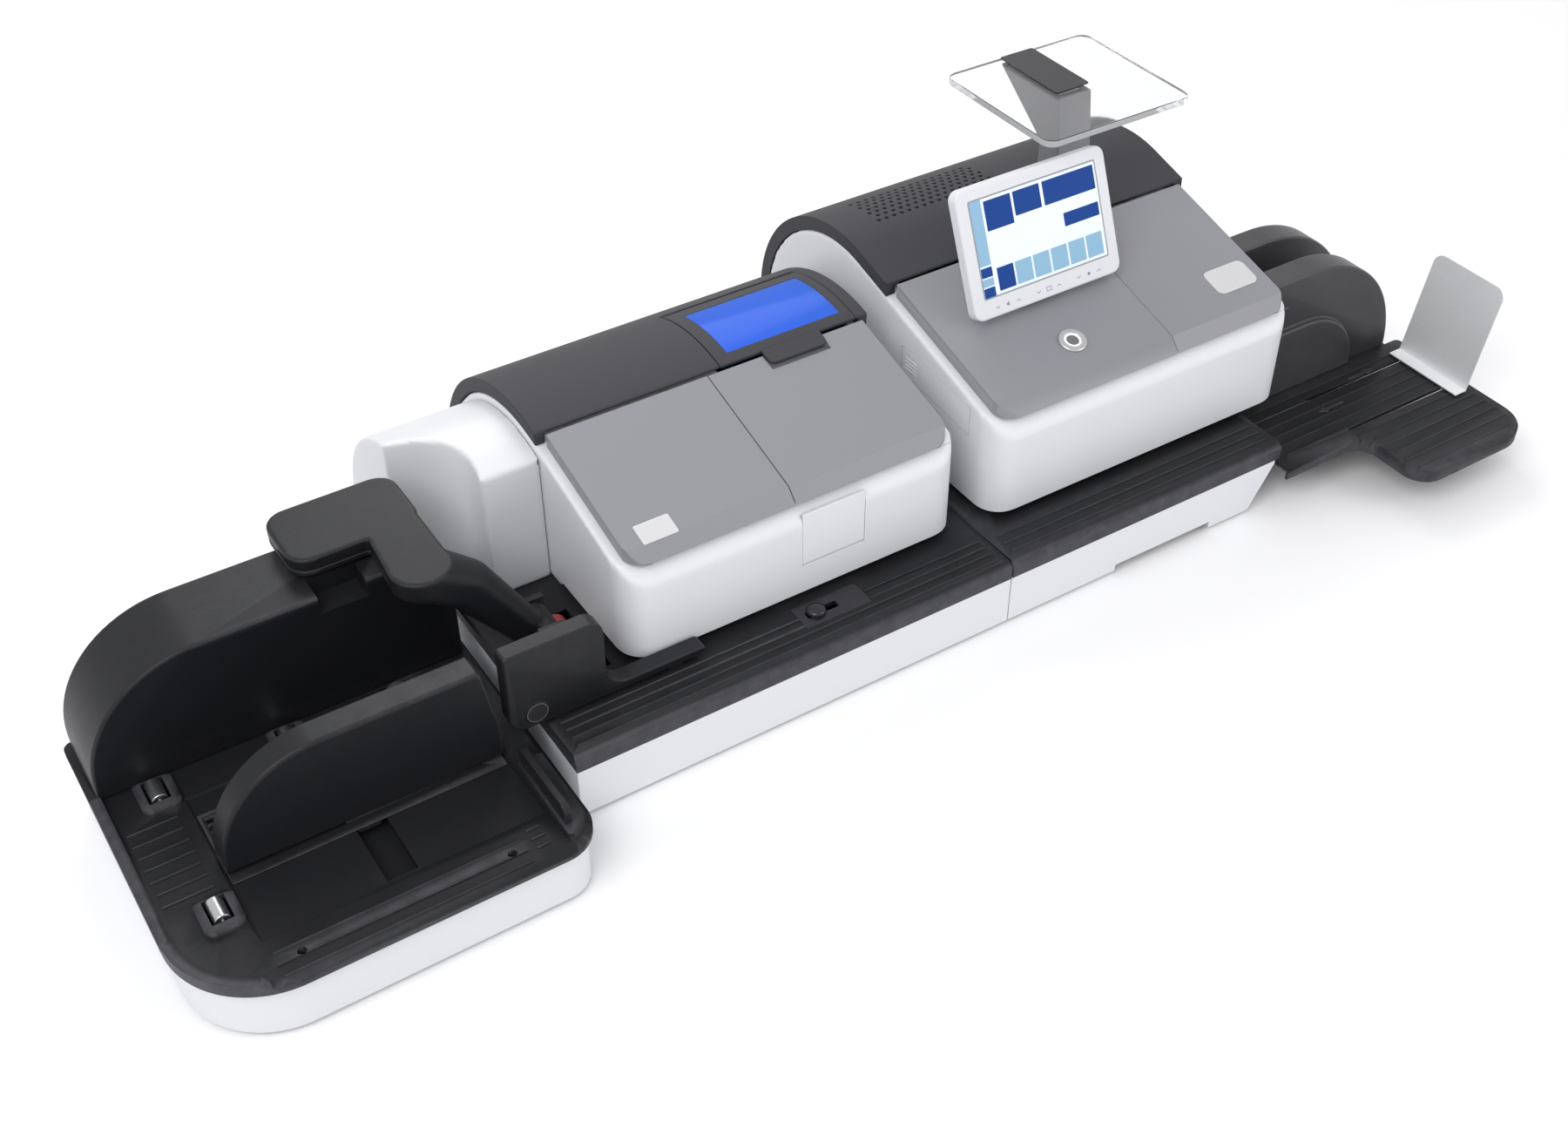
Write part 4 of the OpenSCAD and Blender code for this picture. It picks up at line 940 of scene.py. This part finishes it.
@dataclass
class TankWindow:
    """Smoky pane over the blue tank, and the tank with its shaded front.

    Attributes:
        shade_to: Distance behind the pane's front edge up to which the tank is shaded.
    """

    shade_to: float = 1.0

    def make(self) -> None:
        """Builds the pane and the tank."""
        tank = SHOP.from_cad("water_tank", "tank_moulding", 1.0)
        SHOP.shade(tank)
        tank.data.materials.append(GLOWING_TANK.build())
        tank.data.materials.append(TANK_DARK.build())
        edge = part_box("tank_window")[0].y + self.shade_to * MM
        # Painted shade on the tank's front strip and its upright sides; the other faces keep the painted
        # glow.
        for face in tank.data.polygons:
            face.material_index = 1 if face.center.y < edge or abs(face.normal.z) < 0.5 else 0
        SHOP.settle(tank, ("water_tank",), "root", "tank_blue", GLOWING_TANK)
        piece = SHOP.from_cad("tank_window", "smoky_window", 0.3)
        SHOP.dress(piece, ("tank_window",), "tank_lid", "smoky_window", SMOKY)


@dataclass
class TurnedParts:
    """Round parts made by turning an outline: the power button, its rings, the gate cap and the seal knob.

    Attributes:
        steps: Faces round a full turn.
    """

    steps: int = 72

    def turn(self, name: str, outline: list[Point2], place: Matrix) -> Piece:
        """Turns an outline of radius and height round its own Z and puts it in place.

        Args:
            name: Name of the piece.
            outline: Radius and height of each point, from the axis outwards and round.
            place: Where the piece's own Z axis stands, in metres.

        Returns:
            The new object.
        """
        bm = bmesh.new()
        rings = []
        for r, z in outline:
            if r == 0:
                rings.append([bm.verts.new(place @ Vector((0, 0, z * MM)))])
                continue
            turned = []
            for i in range(self.steps):
                a = 2 * math.pi * i / self.steps
                turned.append(bm.verts.new(place @ (Vector((r * math.cos(a), r * math.sin(a), z)) * MM)))
            rings.append(turned)
        for first, second in zip(rings, rings[1:]):
            for i in range(self.steps):
                j = (i + 1) % self.steps
                if len(first) == 1:
                    bm.faces.new((first[0], second[i], second[j]))
                elif len(second) == 1:
                    bm.faces.new((first[j], first[i], second[0]))
                else:
                    bm.faces.new((first[i], second[i], second[j], first[j]))
        piece = SHOP.obj(name, bm)
        SHOP.shade(piece, 45)
        return piece

    def make(self, slope: SideProfile) -> None:
        """Builds the power button with its two rings, the gate cap and the seal knob."""
        x, y = 936.0, 105.0
        place = Matrix.Translation(at(x, y, slope.line(y))) @ Matrix.Rotation(math.radians(LID_SLOPE), 4, "X")
        button = [(0, 1.7), (5.7, 1.7), (6.2, 1.3), (6.2, -9), (0, -9)]
        piece = self.turn("power_button_core", button, place)
        SHOP.settle(piece, ("power_button",), "power_button", "steel", DARK_STEEL)
        ring = [(6.4, -7), (6.4, 1.4), (6.7, 1.8), (7.9, 1.8), (8.2, 1.4), (8.2, -7), (6.4, -7)]
        SHOP.settle(self.turn("power_button_light", ring, place), (), "power_button", "steel", LIT)
        bezel = [
            (8.4, -8), (8.4, 1.8), (9.0, 2.4), (13.0, 2.4), (13.9, 1.8), (14.4, 0.3), (13.4, -8), (8.4, -8),
        ]
        SHOP.settle(self.turn("power_button_bezel", bezel, place), ("button_ring",), "root", "steel", STEEL)
        cap = [(0, 0.0), (8.4, 0.0), (8.9, 0.5), (9.7, 0.5), (10.0, 0.1), (10.0, -1.0), (0, -1.0)]
        gate_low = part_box("feed_gate")[0]
        spot = Vector((gate_low.x + 24 * MM, gate_low.y + 0.6 * MM, 95 * MM))
        place = Matrix.Translation(spot) @ Matrix.Rotation(math.radians(90), 4, "X")
        SHOP.settle(self.turn("gate_cap", cap, place), (), "root", "graphite", CAP)
        low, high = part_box("seal_lever")
        centre = Vector(((low.x + high.x) / 2, (low.y + high.y) / 2, (DECK_TOP + 0.4) * MM))
        knob = [
            (0, 5.4), (3, 5.2), (6, 4.5), (8, 3.5), (8.9, 2.2),
            (9.0, 0.2), (8.2, 0.0), (3.2, 0.0), (3.2, -10), (0, -10),
        ]
        piece = self.turn("seal_knob", knob, Matrix.Translation(centre))
        SHOP.settle(piece, ("seal_lever",), "seal_lever", "gloss_black", GLOSS)


class Glyph(Enum):
    """Generic marks on the display's lower edge."""

    DOWN = "down"
    UP = "up"
    SPEAKER = "speaker"
    SQUARE = "square"
    SUN = "sun"


@dataclass
class Display:
    """Tilting display: white frame, lit panel with plain tiles and the row of marks below.

    Attributes:
        corner: Row position of the frame's lower left front corner.
        size: Width, height and thickness of the frame.
        lean: Lean from the horizontal in degrees.
        border: Panel's distance from the left, lower, right and upper edge.
    """

    corner: Point3 = (856.0, 148.0, 230.5)
    size: Point3 = (173.0, 123.0, 13.0)
    lean: float = 67.0
    border: Corners = (14.0, 20.0, 14.0, 13.0)

    @property
    def place(self) -> Matrix:
        """Where the face's own X, Y and Z stand."""
        return Matrix.Translation(at(*self.corner)) @ Matrix.Rotation(math.radians(self.lean), 4, "X")

    def slab(self, name: str, outline: list[Point2], z0: float, z1: float, soft: float) -> Piece:
        """Makes a rounded plate that lies on the display's face."""
        piece = SHOP.prism(name, Axis.Z, outline, z0, z1, (soft, soft))
        piece.data.transform(self.place @ Matrix.Translation(-ROW_START))
        SHOP.shade(piece)
        return piece

    def make(self) -> None:
        """Builds the frame, the panel, its tiles and the marks."""
        width, height, depth = self.size
        left, low, right, up = self.border
        body = self.slab("display_body", rounded(0, 0, width, height, (10, 10, 10, 10)), -depth, 0, 2.2)
        hinge = SHOP.from_cad("display_frame", "hinge_source", 0.6)
        SHOP.cut(hinge, self.cutter())
        SHOP.shade(hinge)
        hinge.name = "display_hinge"
        SHOP.settle(body, ("display_frame",), "display", "white_shell", WHITE)
        SHOP.settle(hinge, (), "display", "graphite", GRAPHITE)
        lip = 1.6
        rim = rounded(left - lip, low - lip, width - right + lip, height - up + lip, (2, 2, 2, 2))
        edge = self.slab("display_edge", rim, -0.5, 0.15, 0.1)
        SHOP.settle(edge, (), "display", "gloss_black", SCREEN_EDGE)
        panel = self.slab(
            "display_panel", rounded(left, low, width - right, height - up, (1, 1, 1, 1)), -0.4, 0.25, 0.05
        )
        SHOP.settle(panel, ("display_glass",), "display", "screen", SCREEN_WHITE)
        self.make_tiles(left, low, width - left - right, height - low - up)
        self.make_marks()

    def cutter(self) -> Piece:
        """Block that takes the plate away and leaves the hinge ears behind it."""
        width, height, depth = self.size
        piece = SHOP.prism(
            "cutter", Axis.Z, rounded(-5, -5, width + 5, height + 5, (0, 0, 0, 0)), -depth - 0.3, 9, (0, 0)
        )
        piece.data.transform(self.place @ Matrix.Translation(-ROW_START))
        return piece

    def raise_outline(
        self, bm: bmesh.types.BMesh, outline: list[Point2], z0: float, z1: float
    ) -> list[bmesh.types.BMVert]:
        """Adds the sides and the top of a flat shape on the display's face.

        Args:
            bm: Mesh that the faces go to.
            outline: Points on the face.
            z0: Height of the lower edge.
            z1: Height of the top.

        Returns:
            The lower edge's vertices.
        """
        low = [bm.verts.new(self.place @ (Vector((u, v, z0)) * MM)) for u, v in outline]
        high = [bm.verts.new(self.place @ (Vector((u, v, z1)) * MM)) for u, v in outline]
        for i in range(len(outline)):
            j = (i + 1) % len(outline)
            bm.faces.new((low[i], low[j], high[j], high[i]))
        bm.faces.new(high)
        return low

    def make_tiles(self, x: float, y: float, w: float, h: float) -> None:
        """Lays plain coloured tiles on the panel.

        Args:
            x: Left edge of the lit panel.
            y: Lower edge of the lit panel.
            w: Width of the lit panel.
            h: Height of the lit panel.
        """
        deep = [(0.105, 0.66, 0.315, 0.97), (0.335, 0.72, 0.545, 0.97), (0.57, 0.72, 0.985, 0.97),
                (0.70, 0.44, 0.985, 0.58), (0.0, 0.0, 0.085, 0.10), (0.0, 0.21, 0.085, 0.31),
                (0.12, 0.03, 0.25, 0.27)]
        pale = [(0.265 + 0.145 * i, 0.03, 0.395 + 0.145 * i, 0.27) for i in range(5)]
        pale += [(0.0, 0.33, 0.085, 1.0), (0.0, 0.115, 0.085, 0.195)]
        layers = (
            ("screen_tiles_deep", deep, SCREEN_DEEP, 0.5),
            ("screen_tiles_pale", pale, SCREEN_PALE, 0.45),
        )
        for name, tiles, finish, lift in layers:
            bm = bmesh.new()
            for u0, v0, u1, v1 in tiles:
                outline = rounded(x + u0 * w, y + v0 * h, x + u1 * w, y + v1 * h, (0.8, 0.8, 0.8, 0.8))
                low = self.raise_outline(bm, outline, 0.2, lift)
                bm.faces.new(low[::-1])
            piece = SHOP.obj(name, bm)
            SHOP.settle(piece, (), "display", "screen", finish)

    def make_marks(self) -> None:
        """Puts the small grey marks on the frame's lower edge."""
        row = [
            glyph
            for middle in (Glyph.SPEAKER, Glyph.SQUARE, Glyph.SUN)
            for glyph in (Glyph.DOWN, middle, Glyph.UP)
        ]
        places = (26, 38, 50, 74, 86, 98, 122, 134, 146)
        bm = bmesh.new()
        for glyph, u in zip(row, places):
            for stroke in self.strokes(glyph):
                outline = [(u + a, 8.5 + b) for a, b in stroke]
                self.raise_outline(bm, outline, -0.05, 0.12)
        SHOP.settle(SHOP.obj("display_marks", bm), (), "display", "gloss_black", ICON)

    @staticmethod
    def strokes(glyph: Glyph) -> list[list[Point2]]:
        """Returns the small outlines that draw a mark round its own middle."""
        if glyph in (Glyph.DOWN, Glyph.UP):
            s = 1.0 if glyph is Glyph.UP else -1.0
            return [
                [(-2.4, -0.9 * s), (-2.0, -1.3 * s), (0.0, 0.5 * s), (0.0, 1.2 * s)],
                [(2.4, -0.9 * s), (2.0, -1.3 * s), (0.0, 0.5 * s), (0.0, 1.2 * s)],
            ]
        if glyph is Glyph.SPEAKER:
            return [[(-2, -0.9), (-0.8, -0.9), (1, -2.2), (1, 2.2), (-0.8, 0.9), (-2, 0.9)]]
        if glyph is Glyph.SUN:
            return [[(1.6 * math.cos(i * math.pi / 6), 1.6 * math.sin(i * math.pi / 6)) for i in range(12)]]
        return [
            [(-3, -2), (3, -2), (3, -1.4), (-3, -1.4)], [(-3, 1.4), (3, 1.4), (3, 2), (-3, 2)],
            [(-3, -1.4), (-2.4, -1.4), (-2.4, 1.4), (-3, 1.4)],
            [(2.4, -1.4), (3, -1.4), (3, 1.4), (2.4, 1.4)],
        ]


@dataclass
class Scale:
    """Weighing platter of clear plastic, its dark strap and the column.

    Attributes:
        centre: Middle of the platter.
        size: Width, depth and thickness of the platter.
        strap: Half width of the strap.
        top: Height of the platter's upper face.
    """

    centre: tuple[float, float] = (1034.0, 258.0)
    size: Point3 = (172.0, 160.0, 8.0)
    strap: float = 20.0
    top: float = 376.0

    def make(self) -> None:
        """Builds the clear plate, the flat strap that runs on it to its rear edge and the column."""
        (x, y), (w, d, t) = self.centre, self.size
        plan = rounded(x - w / 2, y - d / 2, x + w / 2, y + d / 2, (12, 12, 12, 12))
        plate = SHOP.prism("platter_plate", Axis.Z, plan, self.top - t, self.top - 1, (1.2, 1.2))
        SHOP.shade(plate)
        plate.data.materials.append(ACRYLIC.build())
        plate.data.materials.append(POLISHED.build())
        for face in plate.data.polygons:
            face.material_index = 1 if abs(face.normal.z) < 0.6 else 0
        SHOP.settle(plate, ("scale_platter",), "scale_platter", "acrylic", ACRYLIC)
        band = rounded(x - self.strap, y - 8, x + self.strap, y + d / 2, (3, 3, 3, 3))
        strap = SHOP.prism("platter_strap", Axis.Z, band, self.top - 1.05, self.top, (0.4, 0.4))
        SHOP.dress(strap, (), "scale_platter", "column_grey", STRAP)
        column = SHOP.from_cad("scale_column", "column_moulding", 2.0)
        SHOP.dress(column, ("scale_column",), "root", "column_grey", COLUMN)


@dataclass
class SmallMarks:
    """Blank plates on the lids, raised arrows on the catch tray and dark plates below its slots as painted
    shade.
    """

    sealer: SideProfile
    main: SideProfile

    def plate(self, name: str, profile: SideProfile, box: Corners, body: str, radius: float) -> None:
        """Puts a blank plate with a raised border on a lid.

        Args:
            name: Name of the piece.
            profile: Side outline of the lid.
            box: Left, front, right and rear edge in plan.
            body: Body that the lid belongs to.
            radius: Radius of the plate's corners.
        """
        x0, y0, x1, y1 = box
        tilt = math.cos(math.radians(LID_SLOPE))
        place = Matrix.Translation(
            at(x0, y0, profile.line(y0))) @ Matrix.Rotation(math.radians(LID_SLOPE), 4, "X"
        )
        outline = rounded(0, 0, x1 - x0, (y1 - y0) / tilt, (radius,) * 4)
        piece = SHOP.prism(name, Axis.Z, outline, -0.2, 0.8, (0, 0.4))
        piece.data.transform(place @ Matrix.Translation(-ROW_START))
        SHOP.dress(piece, (), body, "steel", PLATE)

    def make(self) -> None:
        """Builds the plates, the arrows and the dark plates of painted shade below the slots."""
        self.plate("sealer_plate", self.sealer, (463, 79, 497, 99), "sealer_left_lid", 1.5)
        self.plate("main_plate", self.main, (1110, 92, 1160, 122), "main_right_lid", 7)
        shaft = [
            (0.0, -1.2), (24.0, -1.2), (24.0, -4.6), (34.0, 0.0), (24.0, 4.6), (24.0, 1.2), (0.0, 1.2),
        ]
        for index, (x, y) in enumerate(((1262.0, 40.0), (1296.0, 66.0))):
            s = 1.0 if index else -1.0
            outline = [(x + u * s, y + v * s) for u, v in shaft]
            piece = SHOP.prism(f"tray_arrow_{index + 1}", Axis.Z, outline, 49.9, 51.0, (0, 0.3))
            SHOP.dress(piece, (), "root", "graphite", STRAP)
        # Dark plates below the hook slots are painted shade: they stand in for the shade under the tray that
        # the slots look into.
        for index, y in enumerate((2.0, 62.0)):
            plan = rounded(1206.0, y - 6, 1378.0, y + 6, (1, 1, 1, 1))
            shade_sheet = SHOP.prism(f"hook_slot_shade_{index + 1}", Axis.Z, plan, 38.8, 40.4, (0.2, 0.2))
            SHOP.dress(shade_sheet, (), "root", "graphite", GRAPHITE)


@dataclass
class Studio:
    """Pale floor, soft lights and the camera.

    Attributes:
        eye: Camera position.
        heading: Heading from +Y towards +X in degrees.
        pitch: Downward pitch in degrees.
        lens: Focal length in millimetres.
    """

    eye: Point3 = (-0.7824, -1.1643, 1.2000)
    heading: float = 32.65
    pitch: float = 40.86
    lens: float = 43.3

    def make(self) -> None:
        """Builds the floor, the lights and the camera."""
        bm = bmesh.new()
        bmesh.ops.create_grid(bm, x_segments=8, y_segments=8, size=6.0)
        floor = SHOP.obj("floor", bm)
        floor.data.materials.append(FLOOR.build())
        world = bpy.data.worlds.new("studio")
        world.use_nodes = True
        world.node_tree.nodes["Background"].inputs["Color"].default_value = (1.0, 1.0, 1.0, 1.0)
        world.node_tree.nodes["Background"].inputs["Strength"].default_value = 0.75
        bpy.context.scene.world = world
        self.light("key", (-1.6, -1.0, 2.2), 1.8, 34.0)
        self.light("fill", (1.8, -1.8, 1.6), 1.6, 14.0)
        self.light("rim", (0.6, 2.0, 1.9), 1.6, 22.0)
        self.camera()
        bpy.context.scene.view_settings.view_transform = "Standard"

    @staticmethod
    def light(name: str, place: Point3, size: float, power: float) -> None:
        """Adds one soft area light that looks at the machine."""
        lamp = bpy.data.lights.new(name, "AREA")
        lamp.shape = "DISK"
        lamp.size = size
        lamp.energy = power
        Studio.hold(name, lamp, place, Vector((0, 0, 0.1)) - Vector(place))

    @staticmethod
    def hold(name: str, data: bpy.types.ID, place: Point3, ahead: Vector) -> Piece:
        """Puts a lamp or a camera in place, looking ahead."""
        holder = bpy.data.objects.new(name, data)
        holder.location = place
        holder.rotation_euler = ahead.to_track_quat("-Z", "Y").to_euler()
        bpy.context.scene.collection.objects.link(holder)
        return holder

    def camera(self) -> None:
        """Adds the camera and makes it the scene's own."""
        lens = bpy.data.cameras.new("camera")
        lens.lens = self.lens
        lens.sensor_width = 36.0
        lens.clip_start = 0.05
        h, p = math.radians(self.heading), math.radians(self.pitch)
        ahead = Vector((math.sin(h) * math.cos(p), math.cos(h) * math.cos(p), -math.sin(p)))
        bpy.context.scene.camera = self.hold("camera", lens, self.eye, ahead)


def write_sizes() -> None:
    """Updates the view layer."""
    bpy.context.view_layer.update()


def main() -> None:
    """Builds every unit in order and dresses it."""
    logging.basicConfig(level=logging.INFO, format="%(message)s")
    sealer = SideProfile(262.0, 69.0, 167.0, 64.0)
    franking = SideProfile(315.0, 116.0, 143.0, 55.0)
    CarriedNodes().make()
    Feeder().make()
    Housing("sealer_shell", sealer, (436.0, 782.0), [
        ((456, 88, 102), (762, 202, ABOVE_LIDS)),
        ((624, 221, 142), (767, 315, ABOVE_LIDS)),
        ((610, 63, 112), (676, 68.5, 170)),
    ]).make()
    CornerCover().make()
    Electronics().make()
    TankWindow().make()
    Housing("main_shell", franking, (814.0, 1181.0), [
        ((836, 81, 102), (1161, 216, ABOVE_LIDS)), ((836, 242, 172), (984, 340, ABOVE_LIDS)),
    ], side_hole=[(97.2, 151.3), (205.8, 159.3), (205.8, 190.7), (97.2, 182.7)]).make()
    TurnedParts().make(franking)
    Display().make()
    Scale().make()
    SmallMarks(sealer, franking).make()
    Studio().make()
    write_sizes()


if __name__ == "__main__":
    main()
